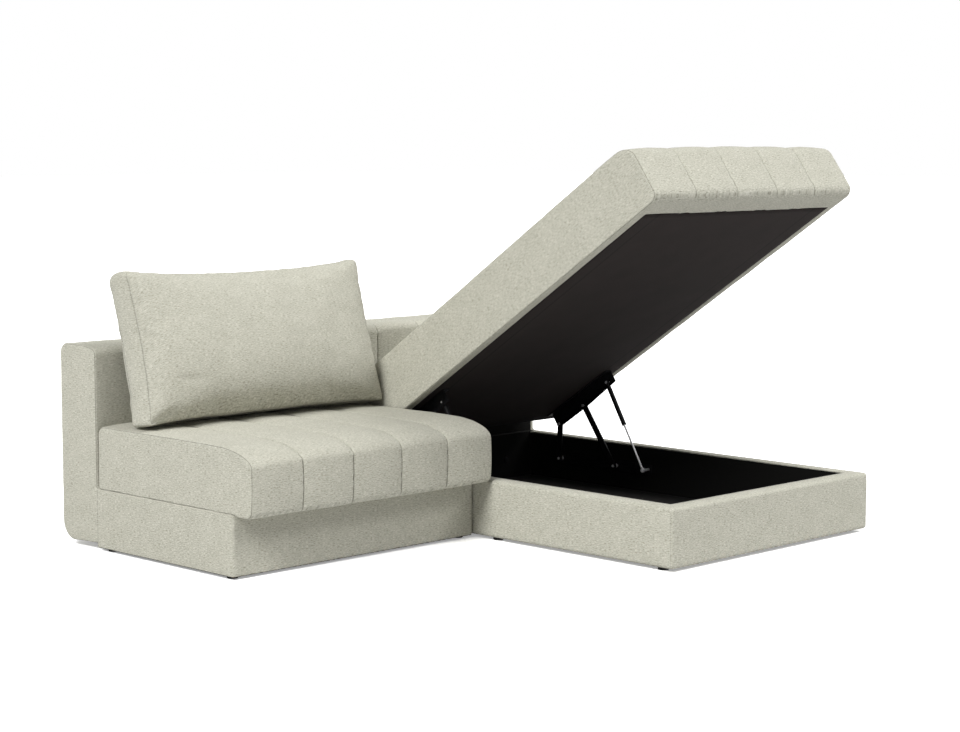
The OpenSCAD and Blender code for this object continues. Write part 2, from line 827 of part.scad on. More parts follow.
module lid_border() {
    color(fabric) lifted() difference() {
        block(lid_x, frame_y, lid_z, lid_w, lid_rear_y - frame_y, deck_top - lid_z);
        block(frame_x, frame_y - over, frame_z, frame_w, frame_rear_y - frame_y + over,
              deck_top - frame_z + over);
        block(lid_x + border_w, frame_y - over, lid_z - over, lid_w - 2 * border_w,
              lid_rear_y - border_w - frame_y + over, lid_cloth_t + 2 * over);
    }
}

module lid_dust_cloth() {
    color(black_cloth) lifted() difference() {
        block(lid_x + border_w, frame_y, lid_z, lid_w - 2 * border_w,
              lid_rear_y - border_w - frame_y, lid_cloth_t);
        both_sides() bracket_screws_at(screw_r + pin_gap, screw_grip);
    }
}

// Outline of the lifting seat's cushion, whose round toe comes down in front of the frame
function lid_profile(drop) = concat(
    seat_profile(lid_len, lid_z + lid_t - deck_top - seat_gap, lid_rear_r,
                 [lid_shoulder_len, lid_shoulder_h]),
    toe_arc(lid_len, -drop, lid_toe_r),
    [[lid_len - lid_toe + seat_gap, -drop, 0], [lid_len - lid_toe + seat_gap, 0, 0]]);

module lid_cushion() {
    drop = deck_top + seat_gap - lid_z;
    color(fabric) lifted()
        translate([lid_x, lid_rear_y, deck_top + seat_gap])
            channelled(lid_profile(drop), lid_w, [lid_len - lid_toe / 2, lid_toe / 2]);
}

// Steel angles under the seat, which carry the arms and the struts
bracket_rear = shut_rear[0] + bracket_ear;
bracket_front = shut_strut_top[0] - bracket_nose;

module bracket_screws_at(r, length) {
    span = bracket_rear - bracket_front;
    for (s = screw_shares)
        translate([bracket_x - flange_w / 2, bracket_rear - s * span, lid_z - plate_t])
            cylinder(r=r, h=plate_t + length);
}

module lid_bracket() {
    color(black_steel) lifted() difference() {
        union() {
            upright(bracket_x, plate_t)
                polygon([[bracket_rear, lid_z], [bracket_rear, shut_rear[1] - bracket_ear],
                         [shut_front[0] - bracket_ear, shut_front[1] - bracket_ear],
                         [bracket_front, shut_strut_top[1] - bracket_ear], [bracket_front, lid_z]]);
            block(bracket_x - flange_w, bracket_front, lid_z - plate_t, flange_w + plate_t / 2,
                  bracket_rear - bracket_front, plate_t);
        }
        for (p = [shut_rear, shut_front, shut_strut_top])
            pin_at(p, bracket_x - over, bracket_x + plate_t + over, pin_r + pin_gap);
        translate([0, 0, -over]) bracket_screws_at(screw_r + pin_gap, 2 * over);
    }
}

module lid_bracket_left() {
    mirror_chaise() lid_bracket();
}

module lid_bracket_right() {
    lid_bracket();
}

module lid_bracket_screws() {
    color(black_steel) lifted() both_sides() {
        bracket_screws_at(screw_r, screw_grip - over);
        translate([0, 0, -screw_head_h]) bracket_screws_at(screw_head_r, screw_head_h - plate_t);
    }
}

module rear_upper_pins() {
    outer = arm_x + arm_t + play;
    color(bright_steel) lifted() both_sides() {
        pin_at(shut_rear, bracket_x - head_h, bracket_x, head_r);
        pin_at(shut_rear, bracket_x, outer, pin_r);
        pin_at(shut_rear, outer, outer + head_h, head_r);
    }
}

// The seat's half of the opened front pivots
module front_upper_rivets() {
    color(bright_steel) lifted() both_sides() {
        pin_at(shut_front, bracket_x - head_h, bracket_x, head_r);
        pin_at(shut_front, bracket_x, bracket_x + plate_t, pin_r);
    }
}

// Gas struts, inside the brackets: the rod turns on a stud on the box, and the cylinder slides on
// the rod. The upper pivot is opened: the eye keeps one half of its pin, and the bracket the other.
strut_x = bracket_x - strut_gap - strut_r;
strut_line = open_strut_top - strut_stud;
strut_len = norm(strut_line);
strut_angle = atan2(strut_line[1], strut_line[0]);
eye_r = 8;
eye_t = 10;
neck_len = 20;
neck_r = 4.5;
gland_t = 8;
cylinder_wall = 1.5;
cylinder_end_t = 3;
piston_t = 10;
piston_gap = 0.3;
cylinder_y = strut_len - neck_len - strut_cylinder_len;

module on_strut() {
    translate([strut_x, strut_stud[0], strut_stud[1]]) rotate([strut_angle, 0, 0]) children();
}

module along_strut(y0, y1, r) {
    translate([0, y0, 0]) rotate([-90, 0, 0]) cylinder(r=r, h=y1 - y0);
}

module strut_eye(y, neck_y0, neck_y1) {
    difference() {
        union() {
            translate([-eye_t / 2, y, 0]) rotate([0, 90, 0]) cylinder(r=eye_r, h=eye_t);
            along_strut(neck_y0, neck_y1, neck_r);
        }
        translate([-eye_t / 2 - over, y, 0]) rotate([0, 90, 0])
            cylinder(r=pin_r + pin_gap, h=eye_t + 2 * over);
    }
}

module strut_lower_eyes() {
    color(bright_steel) both_sides() on_strut() strut_eye(0, pin_r, neck_len);
}

module strut_top_eyes() {
    color(black_steel) both_sides() on_strut() strut_eye(strut_len, strut_len - neck_len, strut_len - pin_r);
}

module strut_rod() {
    piston_y = cylinder_y + gland_t + play;
    color(bright_steel) on_strut() {
        along_strut(neck_len, piston_y, strut_rod_r);
        along_strut(piston_y, piston_y + piston_t, strut_r - cylinder_wall - piston_gap);
    }
}

module strut_cylinder() {
    color(black_steel) on_strut() difference() {
        along_strut(cylinder_y, cylinder_y + strut_cylinder_len, strut_r);
        along_strut(cylinder_y - over, cylinder_y + gland_t + over, strut_rod_r + pin_gap);
        along_strut(cylinder_y + gland_t, cylinder_y + strut_cylinder_len - cylinder_end_t,
                    strut_r - cylinder_wall);
    }
}

module strut_cylinder_left() {
    mirror_chaise() strut_cylinder();
}

module strut_cylinder_right() {
    strut_cylinder();
}

module strut_rod_left() {
    mirror_chaise() strut_rod();
}

module strut_rod_right() {
    strut_rod();
}

module strut_lower_studs() {
    inner = strut_x - eye_t / 2 - play;
    outer = strut_x + eye_t / 2 + play;
    color(bright_steel) both_sides() {
        pin_at(strut_stud, inner, wall_x, pin_r);
        pin_at(strut_stud, outer, plate_x, head_r);
        pin_at(strut_stud, inner - head_h, inner, head_r);
    }
}

module strut_upper_studs() {
    color(bright_steel) lifted() both_sides() {
        pin_at(shut_strut_top, strut_x + eye_t / 2 + play, bracket_x, head_r);
        pin_at(shut_strut_top, bracket_x, bracket_x + plate_t, pin_r);
    }
}

// The eyes' half of the opened upper pivots
module strut_top_pins() {
    color(bright_steel) both_sides() {
        pin_at(open_strut_top, strut_x - eye_t / 2 - head_h, strut_x - eye_t / 2, head_r);
        pin_at(open_strut_top, strut_x - eye_t / 2, strut_x + eye_t / 2, pin_r);
    }
}

echo(pivots=[pivot_rear, pivot_front, strut_stud, open_rear, open_front, open_strut_top]);
echo(shut=[shut_rear, shut_front, shut_strut_top], front_arm_len=front_arm_len, strut_len=strut_len);
echo(strut_angle=strut_angle, strut_x=strut_x, box=[inner_x, inner_y, inner_rear_y, floor_z + floor_t]);

seat_front_rail();
seat_rear_rail();
seat_side_rails();
seat_cross_rails();
seat_webbing();
seat_base_cover();
seat_dust_cloth();
seat_cushion();
seat_feet();
back_posts(seat_x);  // seat_back_posts
back_rails(seat_x);  // seat_back_rails
back_shell(seat_x);  // seat_back_shell
back_pad(seat_x);  // seat_back_pad
back_posts(chaise_x);  // chaise_back_posts
back_rails(chaise_x);  // chaise_back_rails
back_shell(chaise_x);  // chaise_back_shell
back_pad(chaise_x);  // chaise_back_pad
back_bolts();
back_pillow();
box_front_panel();
box_rear_panel();
box_left_panel();
box_right_panel();
box_floor();
box_bearers();
box_cover();
box_lining();
box_feet();
module_links();
link_screws();
lower_plate_left();
lower_plate_right();
lower_plate_screws();
lower_pivot_pins();
strut_lower_studs();
rear_arm_left();
rear_arm_right();
front_arm_left();
front_arm_right();
front_arm_rivets();
lid_side_rails();
lid_end_rails();
lid_cross_rails();
lid_deck();
lid_border();
lid_dust_cloth();
lid_cushion();
lid_bracket_left();
lid_bracket_right();
lid_bracket_screws();
rear_upper_pins();
front_upper_rivets();
strut_upper_studs();
strut_cylinder_left();
strut_cylinder_right();
strut_top_eyes();
strut_top_pins();
strut_rod_left();
strut_rod_right();
strut_lower_eyes();
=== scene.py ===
"""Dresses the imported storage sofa: upholstery, cloth, steel finishes and a studio stage.

Every size is in metres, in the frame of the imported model: X runs right, Y back and Z up.
"""

import itertools
import json
import math

import bmesh
import bpy
from bpy.props import FloatProperty, FloatVectorProperty, IntProperty, PointerProperty
from mathutils import Matrix, Vector, noise


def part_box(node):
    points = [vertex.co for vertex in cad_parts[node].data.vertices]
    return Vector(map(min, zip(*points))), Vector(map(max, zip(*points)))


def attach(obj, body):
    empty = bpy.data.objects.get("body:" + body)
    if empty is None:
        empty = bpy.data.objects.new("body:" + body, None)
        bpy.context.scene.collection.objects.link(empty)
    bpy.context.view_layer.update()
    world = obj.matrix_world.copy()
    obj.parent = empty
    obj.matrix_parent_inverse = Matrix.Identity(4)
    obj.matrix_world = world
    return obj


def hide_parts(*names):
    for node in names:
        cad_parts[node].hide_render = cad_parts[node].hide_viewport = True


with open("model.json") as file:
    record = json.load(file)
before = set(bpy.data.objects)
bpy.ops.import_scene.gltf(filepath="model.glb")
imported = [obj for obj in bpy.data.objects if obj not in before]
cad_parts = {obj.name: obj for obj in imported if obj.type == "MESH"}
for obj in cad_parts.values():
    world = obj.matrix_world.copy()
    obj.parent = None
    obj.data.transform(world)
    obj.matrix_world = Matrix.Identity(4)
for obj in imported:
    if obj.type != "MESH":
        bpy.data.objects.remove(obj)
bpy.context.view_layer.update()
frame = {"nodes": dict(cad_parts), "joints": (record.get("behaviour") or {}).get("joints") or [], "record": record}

bl_info = {
    "name": "Storage Sofa",
    "version": (1, 0, 0),
    "blender": (4, 5, 0),
    "location": "View3D > Sidebar > Sofa",
    "description": "Dresses the storage sofa with upholstery, cloth and steel finishes",
    "category": "Add Mesh",
}

RECORD = frame["record"]
SLOT_OF = {part["node"]: part["material_slot"] for part in RECORD["subparts"]}
BODY_OF = {node: body for body, nodes in RECORD["behaviour"]["bodies"].items() for node in nodes}
JOINTS = {joint["name"]: joint for joint in frame["joints"]}
RATIOS = {pair["joint"]: pair["ratio"] for pair in RECORD["behaviour"]["couplings"]}


def lift_matrix():
    """Moves the shut seat to where it is drawn, lifted, as the joints' limits say."""
    arm, seat = JOINTS["rear_arm_hinge"], JOINTS["seat_lift"]
    arm_turn = math.radians(arm["range_deg"][0])
    low, high = Vector(arm["pos_m"]), Vector(seat["pos_m"])
    shut = low + Matrix.Rotation(arm_turn, 3, "X") @ (high - low)
    turn = Matrix.Rotation(-arm_turn * (1 + RATIOS["seat_lift"]), 4, "X")
    return Matrix.Translation(high) @ turn @ Matrix.Translation(-shut)


LIFT = lift_matrix()


def corners_of(points):
    """Lowest and highest corner of some points."""
    points = list(points)
    return (Vector([min(p[i] for p in points) for i in range(3)]),
            Vector([max(p[i] for p in points) for i in range(3)]))


def box_of(*nodes):
    """Box of several CAD nodes at rest."""
    return corners_of(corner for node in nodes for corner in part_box(node))


def shut_box(*nodes):
    """Box of nodes of the lifting seat, with the seat shut."""
    back = LIFT.inverted()
    return corners_of(back @ v.co for node in nodes for v in frame["nodes"][node].data.vertices)


# Settings


def length_of(name, description, default):
    return FloatProperty(name=name, description=description, default=default, unit="LENGTH")


def colour_of(name, description, default):
    return FloatVectorProperty(name=name, description=description, default=default,
                               subtype="COLOR")


class SofaSizes(bpy.types.PropertyGroup):
    """Sizes of the upholstery."""

    channels: IntProperty(name="Channels", description="Sewn channels across a module",
                          default=5, min=3, max=7)
    channel_depth: length_of("Channel depth", "Depth of a channel's seam", 0.0085)
    crown: length_of("Crown", "Rise of a cushion at mid width", 0.006)
    edge: length_of("Side edge", "Radius of the sewn side edges", 0.007)
    bulge: length_of("Side bulge", "Swell of the side panels", 0.0015)
    seam_depth: length_of("Seam depth", "Depth of a sewn seam", 0.0018)
    pucker: length_of("Puckers", "Height of the puckers beside a seam", 0.0010)
    pillow_size: FloatVectorProperty(
        name="Pillow", description="Width, band and height of the empty pillow cover",
        default=(1.046, 0.098, 0.522), unit="LENGTH")
    lean: FloatProperty(name="Pillow lean", description="Angle that the pillow leans back",
                        default=math.radians(15.2), subtype="ANGLE")


class SofaColours(bpy.types.PropertyGroup):
    """Colours of the finishes."""

    fabric: colour_of("Fabric", "Mean colour of the heathered cloth", (0.44, 0.432, 0.362))
    fleck_dark: colour_of("Dark flecks", "Colour of its dark flecks", (0.235, 0.228, 0.180))
    fleck_light: colour_of("Light flecks", "Colour of its light flecks", (0.64, 0.630, 0.555))
    # Black cloth is the lighter, lit tone painted on the cloth under the lifting seat (painted light); Lining is
    # the dark tone that every black cloth takes elsewhere.
    black_cloth: colour_of("Black cloth", "Cloth under the seats", (0.021, 0.0165, 0.0155))
    lining: colour_of("Lining", "Lining and floor of the box", (0.0050, 0.0048, 0.0044))
    black_steel: colour_of("Black steel", "Coated steel", (0.0045, 0.0045, 0.005))
    bright_steel: colour_of("Bright steel", "Plated steel", (0.90, 0.90, 0.91))
    timber: colour_of("Timber", "Boards of the frame", (0.55, 0.38, 0.21))


# Finishes


class Value:
    """A shader socket that takes part in sums."""

    def __init__(self, finish, socket):
        self.finish, self.socket = finish, socket

    def sum(self, operation, other):
        """Adds a Math node that works on this value and another."""
        return self.finish.add("ShaderNodeMath", {"operation": operation}, {0: self, 1: other})

    def __add__(self, other):
        return self.sum("ADD", other)

    def __mul__(self, other):
        return self.sum("MULTIPLY", other)

    __radd__, __rmul__ = __add__, __mul__


class Finish:
    """A node tree in the making."""

    def __init__(self, owner):
        owner.use_nodes = True
        self.owner, self.tree = owner, owner.node_tree
        self.tree.nodes.clear()

    def add(self, kind, settings=None, inputs=None, output=0):
        """Adds a node, sets it, joins its inputs and gives one of its outputs."""
        node = self.tree.nodes.new(kind)
        for key, value in (settings or {}).items():
            setattr(node, key, value)
        for key, value in (inputs or {}).items():
            if isinstance(value, Value):
                self.tree.links.new(value.socket, node.inputs[key])
            else:
                node.inputs[key].default_value = value
        return Value(self, node.outputs[output]) if node.outputs else None

    def place(self):
        """Where a point lies in the frame of the model, in metres."""
        return self.add("ShaderNodeTexCoord", output="Object")

    def noise(self, place, scale, detail=2.0, roughness=0.5):
        """Noise of a size that differs along each axis; scale is in waves to the metre."""
        stretched = self.add("ShaderNodeMapping", inputs={"Vector": place, "Scale": scale})
        return self.add("ShaderNodeTexNoise", inputs={"Vector": stretched, "Scale": 1.0,
                                                      "Detail": detail, "Roughness": roughness})

    def mix(self, share, first, second):
        """Mixes two colours."""
        return self.add("ShaderNodeMix", {"data_type": "RGBA"},
                        {"Factor": share, 6: first, 7: second}, 2)

    def ramp(self, value, low, high):
        """Takes a value from its own low and high to 0 and 1."""
        return self.add("ShaderNodeMapRange", inputs={"Value": value, "From Min": low,
                                                      "From Max": high})

    def attribute(self, name):
        """A number that the mesh carries at its points, or 0 where it carries none."""
        return self.add("ShaderNodeAttribute", {"attribute_name": name}, output="Fac")

    def surface(self, inputs, height, distance, strength):
        """Ends the material in one principled surface, bumped by a height."""
        bump = self.add("ShaderNodeBump", inputs={"Height": height, "Distance": distance,
                                                  "Strength": strength})
        shader = self.add("ShaderNodeBsdfPrincipled", inputs={**inputs, "Normal": bump})
        self.add("ShaderNodeOutputMaterial", inputs={"Surface": shader})


def colour(value, factor=1.0):
    """A colour for a socket, made darker or lighter, with its alpha."""
    return (*(c * factor for c in value[:3]), 1.0)


def heathered_fabric(finish, colours):
    """Thick heathered weave: flecks along the weft, fine loops, and painted shade in the sewn seams."""
    place = finish.add("ShaderNodeUVMap", {"uv_map": "weave"})
    fleck = finish.noise(place, (95, 420, 1), 2.0, 0.6)
    loops = finish.noise(place, (330, 520, 1), 1.0)
    slub = finish.noise(place, (34, 330, 1), 1.0)
    cloud = finish.noise(place, (12, 20, 1), 2.0)
    tone = fleck * 0.56 + loops * 0.19 + slub * 0.18 + cloud * 0.07
    mean = colour(colours.fabric)
    dark = finish.mix(finish.ramp(tone, 0.49, 0.36), mean, colour(colours.fleck_dark))
    flecked = finish.mix(finish.ramp(tone, 0.51, 0.66), dark, colour(colours.fleck_light))
    # Painted shade: the seam attribute darkens the cloth along the seams' grooves.
    sewn = finish.mix(finish.attribute("seam") * 0.72, flecked, colour(colours.fabric, 0.22))
    height = fleck * 0.8 + loops * 0.8 + slub * 0.4
    finish.surface({"Base Color": sewn, "Roughness": 0.93, "Sheen Weight": 0.10,
                    "Sheen Roughness": 0.5, "Specular IOR Level": 0.25}, height, 0.0014, 0.8)


def black_cloth(finish, colours):
    """Thin bonded black cloth in the lining's dark tone, with painted light: a lighter, lit tone where a mesh says
    so.
    """
    place = finish.place()
    felt = finish.noise(place, (700, 700, 700), 3.0)
    cloud = finish.noise(place, (9, 9, 9), 2.0)
    # Painted light: a mesh's attribute lifts the cloth from the dark tone to the lighter tone where light falls on
    # it; meshes without it stay dark.
    base = finish.mix(finish.attribute("brushed"), colour(colours.lining),
                      colour(colours.black_cloth))
    tone = finish.ramp(felt * 0.6 + cloud * 0.4, 0.3, 0.7) * 0.35
    shade = finish.mix(tone, base, colour(colours.lining, 0.8))
    finish.surface({"Base Color": shade, "Roughness": 0.97, "Specular IOR Level": 0.12},
                   felt, 0.0004, 0.5)


def coated_steel(finish, base, rough):
    """Powder-coated steel or moulded plastic: satin, with a fine orange peel."""
    place = finish.place()
    peel = finish.noise(place, (900, 900, 900), 2.0)
    wear = finish.noise(place, (45, 45, 45), 3.0)
    shade = finish.mix(finish.ramp(wear, 0.45, 0.75), colour(base), colour(base, 1.8))
    finish.surface({"Base Color": shade, "Roughness": wear * 0.16 + (rough - 0.08),
                    "Specular IOR Level": 0.12}, peel, 0.0002, 0.35)


def plated_steel(finish, colours):
    """Bright plated steel, with fine brush marks."""
    place = finish.place()
    brush = finish.noise(place, (2200, 160, 160), 2.0)
    base = colours.bright_steel
    shade = finish.mix(brush, colour(base, 0.86), colour(base, 1.12))
    finish.surface({"Base Color": shade, "Metallic": 0.15, "Roughness": brush * 0.18 + 0.16},
                   brush, 0.0001, 0.3)


def raw_timber(finish, colours):
    """Planed board with long grain."""
    place = finish.place()
    warp = finish.noise(place, (3, 3, 3), 2.0)
    grain = finish.noise(place, (9, 9, 230), 4.0, 0.6)
    fibre = finish.noise(place, (60, 60, 900), 2.0)
    tone = finish.ramp(grain * 0.6 + fibre * 0.25 + warp * 0.15, 0.3, 0.7)
    base = colours.timber
    shade = finish.mix(tone, colour(base, 0.68), colour(base, 1.22))
    finish.surface({"Base Color": shade, "Roughness": grain * 0.2 + 0.55}, fibre, 0.0003, 0.4)


def black_board(finish, colours):
    """Black faced board of the box's floor."""
    place = finish.place()
    grain = finish.noise(place, (420, 420, 420), 3.0)
    shade = finish.mix(finish.ramp(grain, 0.3, 0.7), colour(colours.lining, 0.8),
                       colour(colours.lining, 1.3))
    finish.surface({"Base Color": shade, "Roughness": grain * 0.1 + 0.75,
                    "Specular IOR Level": 0.2}, grain, 0.0003, 0.4)


MAKERS = {
    "upholstery": heathered_fabric,
    "timber": raw_timber,
    "black_board": black_board,
    "black_cloth": black_cloth,
    "black_steel": lambda finish, colours: coated_steel(finish, colours.black_steel, 0.55),
    "bright_steel": plated_steel,
    "black_plastic": lambda finish, colours: coated_steel(finish, colours.black_steel, 0.62),
}


def finish_of(slot):
    """Material of a slot, made once."""
    key = "slot_" + slot
    if key not in bpy.data.materials:
        MAKERS[slot](Finish(bpy.data.materials.new(key)), bpy.context.scene.sofa_colours)
    return bpy.data.materials[key]


# Forms

LEAST_GAP = 0.0004


def lines_between(length, marks, coarse):
    """Places of a grid's lines along one side: the marks, and even steps between them."""
    places = [0.0]
    for mark in sorted(m for m in set(marks) if 0 < m < length):
        if mark - places[-1] > LEAST_GAP:
            places.append(mark)
    places.append(length)
    filled = [0.0]
    for low, high in zip(places, places[1:]):
        count = max(1, math.ceil((high - low) / coarse - 0.01))
        filled += [low + (high - low) * i / count for i in range(1, count + 1)]
    return filled


def grid_box(lines):
    """A closed box of quads whose lines lie at the given places from its low corner."""
    bm = bmesh.new()
    bmesh.ops.create_cube(bm, size=1.0)
    for axis in range(3):
        along = [e for e in bm.edges if abs(e.verts[1].co[axis] - e.verts[0].co[axis]) > 1e-5]
        cuts = len(lines[axis]) - 2
        if cuts > 0:
            bmesh.ops.subdivide_edges(bm, edges=along, cuts=cuts, use_grid_fill=True)
    for v in bm.verts:
        v.co = [lines[axis][round((v.co[axis] + 0.5) * (len(lines[axis]) - 1))]
                for axis in range(3)]
    return bm


def smooth(value, start=0.0, end=1.0):
    """Rises softly from 0 to 1 while the value goes from start to end."""
    share = min(1.0, max(0.0, (value - start) / (end - start)))
    return share * share * (3 - 2 * share)


def unevenness(point, *waves):
    """Soft noise at a point; each wave is (waves to the metre, height)."""
    return sum(noise.noise(point * often) * height for often, height in waves)


def disc(a, b):
    """Moves a point of the unit square's corner onto the unit disc."""
    return a * math.sqrt(1 - b * b / 2), b * math.sqrt(1 - a * a / 2)


def rounded(y, z, length, height, corners):
    """Rounds the corners of a section; a corner is (at the rear, at the top, radii)."""
    for rear, top, ry, rz in corners:
        a = 1 - (length - y if rear else y) / ry
        b = 1 - (height - z if top else z) / rz
        if a > 0 and b > 0:
            a, b = disc(a, b)
            y = length - ry * (1 - a) if rear else ry * (1 - a)
            z = height - rz * (1 - b) if top else rz * (1 - b)
    return y, z


# Angles of a side edge's turn, and distances from a channel's seam, that grid lines follow
RIM_ANGLES = (0, 14, 27, 38, 45, 52, 63, 76, 90)
SEAM_STEPS = (0, 0.0011, 0.0026, 0.005, 0.009, 0.015, 0.024, 0.038)
SEAM_WIDTH = 0.0018


def arc_marks(length, far, radius):
    """Lines of a grid through one rounded corner."""
    count = 4 + math.ceil(radius / 0.018)
    steps = [radius * i / count for i in range(1, count + 1)]
    return [length - step for step in steps] if far else steps


def rim_lines(edge):
    """Distances from an end at which the side edge's lines lie."""
    return [edge * (1 - math.cos(math.radians(a))) for a in RIM_ANGLES]


def rim_shrink(near, edge):
    """How far a section shrinks at a distance from the nearer end."""
    share = max(0.0, 1 - near / edge)
    return edge * (1 - math.sqrt(1 - share * share))


def seam_line(distance, width=SEAM_WIDTH):
    """How much of a seam there is at a distance from it, from 1 to 0."""
    return max(0.0, 1 - abs(distance) / width)


def weave_uv(bm):
    """Lays the cloth on the faces: U along the weft, V across it, in metres."""
    bm.normal_update()
    layer = bm.loops.layers.uv.new("weave")
    for face in bm.faces:
        side, rear = abs(face.normal.x) > 0.75, face.normal.y > 0.3
        for loop in face.loops:
            x, y, z = loop.vert.co
            loop[layer].uv = (y, z) if side else (x, z - y if rear else z + y)


def form_of(node):
    """The form of a CAD node, with its doubled vertices joined."""
    bm = bmesh.new()
    bm.from_mesh(frame["nodes"][node].data)
    bmesh.ops.remove_doubles(bm, verts=bm.verts, dist=1e-6)
    return bm


def linked(name, data, turn=(0, 0, 0)):
    """A new object in the scene, turned by degrees; a form in the making becomes its mesh."""
    if isinstance(data, bmesh.types.BMesh):
        bm, data = data, bpy.data.meshes.new(name)
        bm.to_mesh(data)
        bm.free()
    item = bpy.data.objects.new(name, data)
    item.rotation_euler = [math.radians(angle) for angle in turn]
    bpy.context.scene.collection.objects.link(item)
    return item


def finish_piece(bm, name, slot, smooth_faces=True):
    """Makes an object of a form, with its slot's finish."""
    piece = linked(name, bm)
    if smooth_faces:
        piece.data.shade_smooth()
    piece.data.materials.append(finish_of(slot))
    return piece


# Upholstered pieces


class Padding:
    """A channelled piece: a rounded section carried across X between sewn side panels.

    depth, bottom_edge, top_seam and outer are shares: of the channels' depth, of the side
    edge's rounding at the bottom, of a seam's painted shade on top, where more light falls than
    on the front, and of the swell at the left and right. coarse holds the grid's steps."""

    depth = 1.0
    bottom_edge = 0.3
    top_seam = 0.4
    outer = (1.0, 1.0)
    coarse = (0.020, 0.011, 0.012)
    corners = ()
    end_share = 0.55
    swell_reach = 0.06
    pucker_reach = 0.016

    def __init__(self, low, high, sizes):
        self.low, self.size, self.sizes = low, high - low, sizes

    def shares(self, y, z):
        """How much of the channels the front and the top take."""
        return 1.0, 1.0

    def insets(self, y, z):
        """Extra insets of the front, rear, bottom and top."""
        return 0.0, 0.0, 0.0, 0.0

    def extra_marks(self):
        """More lines of the grid, along X, Y and Z."""
        return [], [], []

    def seams(self):
        return [k * self.size.x / self.sizes.channels for k in range(1, self.sizes.channels)]

    def lines(self):
        """The grid's lines: closer at the seams, at the side edges and in the corners."""
        width = self.size.x
        marks = self.extra_marks()
        marks[0].extend(s + sign * step for s in self.seams() for step in SEAM_STEPS
                        for sign in (-1, 1))
        for place in rim_lines(self.sizes.edge):
            marks[0].extend((place, width - place))
        for rear, top, ry, rz in self.corners:
            marks[1].extend(arc_marks(self.size.y, rear, ry))
            marks[2].extend(arc_marks(self.size.z, top, rz))
        return [lines_between(*terms) for terms in zip(self.size, marks, self.coarse)]

    def sink(self, x):
        """Depth of a channelled face below the top of its channels."""
        part = x * self.sizes.channels / self.size.x
        share = max(0.0, math.sin(math.pi * (part - math.floor(part))))
        end = self.end_share if part < 0.5 or part > self.sizes.channels - 0.5 else 1.0
        return self.depth * self.sizes.channel_depth * end * (1 - share ** 0.5)

    def placed(self, x, y, z):
        """Where a point of the plain grid lies in the padded block."""
        size, sizes = self.size, self.sizes
        near = min(x, size.x - x)
        y, z = rounded(y, z, size.y, size.z, self.corners)
        shrink, sink = rim_shrink(near, sizes.edge), self.sink(x)
        fall = sizes.crown * (2 * x / size.x - 1) ** 2
        front_share, top_share = self.shares(y, z)
        front, rear, bottom, top = self.insets(y, z)
        front += front_share * (sink + fall * 0.5) + shrink
        bottom += self.bottom_edge * shrink
        top += top_share * (sink + fall) + shrink
        swell = (1 - abs(2 * y / size.y - 1) ** 5) * (1 - abs(2 * z / size.z - 1) ** 5)
        swell *= sizes.bulge * max(0.0, 1 - near / self.swell_reach)
        y += front * (1 - y / size.y) - (rear + shrink) * y / size.y
        z += bottom * (1 - z / size.z) - top * z / size.z
        x += swell * self.outer[1] if x > size.x / 2 else -swell * self.outer[0]
        return self.low + Vector((x, y, z))

    def relief(self, point, normal):
        """Height of puckers, seams and a soft unevenness, and how much painted shade a seam gets, less on top than
        on the front.
        """
        sizes, seams = self.sizes, self.seams()
        k = min(range(len(seams)), key=lambda i: abs(point.x - seams[i]))
        offset = point.x - seams[k]
        front, top = self.shares(point.y, point.z)
        facing = smooth(-normal.y, 0.25, 0.75)
        share = facing * front + (1 - facing) * top * smooth(normal.z, 0.1, 0.4)
        share *= smooth(abs(normal.x), 0.85, 0.75)
        along = point.y + point.z
        fade = math.exp(-(offset / self.pucker_reach) ** 2)
        pucker = math.sin(along * 185 + 2.1 * k) + 0.6 * math.sin(along * 117 + k)
        height = sizes.pucker * fade * pucker * (0.4 + 0.6 * facing)
        height = share * (height - sizes.seam_depth * seam_line(offset, 0.0026))
        uneven = unevenness(point, (9.0, 0.0016), (31.0, 0.0004))
        rim = self.rim(point, normal)
        # Painted shade in the seams: full on front faces, only the top_seam share on the better-lit top.
        dark = share * seam_line(offset) * (facing + (1 - facing) * self.top_seam)
        return height + uneven - sizes.seam_depth * 0.8 * rim, max(dark, rim)

    def rim(self, point, normal):
        """The sewn seam round a side panel, where the surface has turned by half; it sinks the surface and takes
        painted shade.
        """
        turn = math.degrees(math.asin(min(1.0, abs(normal.x))))
        near = min(point.x, self.size.x - point.x)
        return seam_line(turn - 45, 14) if near < self.sizes.edge + 0.006 else 0.0

    def make(self):
        bm = grid_box(self.lines())
        for v in bm.verts:
            v.co = self.placed(*v.co)
        bm.normal_update()
        sewn = bm.verts.layers.float.new("seam")
        heights = []
        for v in bm.verts:
            height, v[sewn] = self.relief(v.co - self.low, v.normal)
            heights.append(height)
        for v, height in zip(bm.verts, heights):
            v.co += v.normal * height
        return bm


class SeatPadding(Padding):
    """The seat cushion, which hangs a little over the front of its base."""

    top_seam = 0.2
    corners = ((False, True, 0.160, 0.056), (False, False, 0.022, 0.022),
               (True, True, 0.030, 0.030), (True, False, 0.012, 0.012))

    def shares(self, y, z):
        return 1.0, 1.0 - 0.1 * smooth(y, 0.0, 0.5)

    def insets(self, y, z):
        bulge = 0.006 * (1 - (2 * z / self.size.z - 1) ** 2)
        droop = 0.006 * smooth(y, 0.088, 0.058)
        slope = 0.006 * max(0.0, 1 - y / 0.26)
        return -bulge, 0.0, -droop, slope


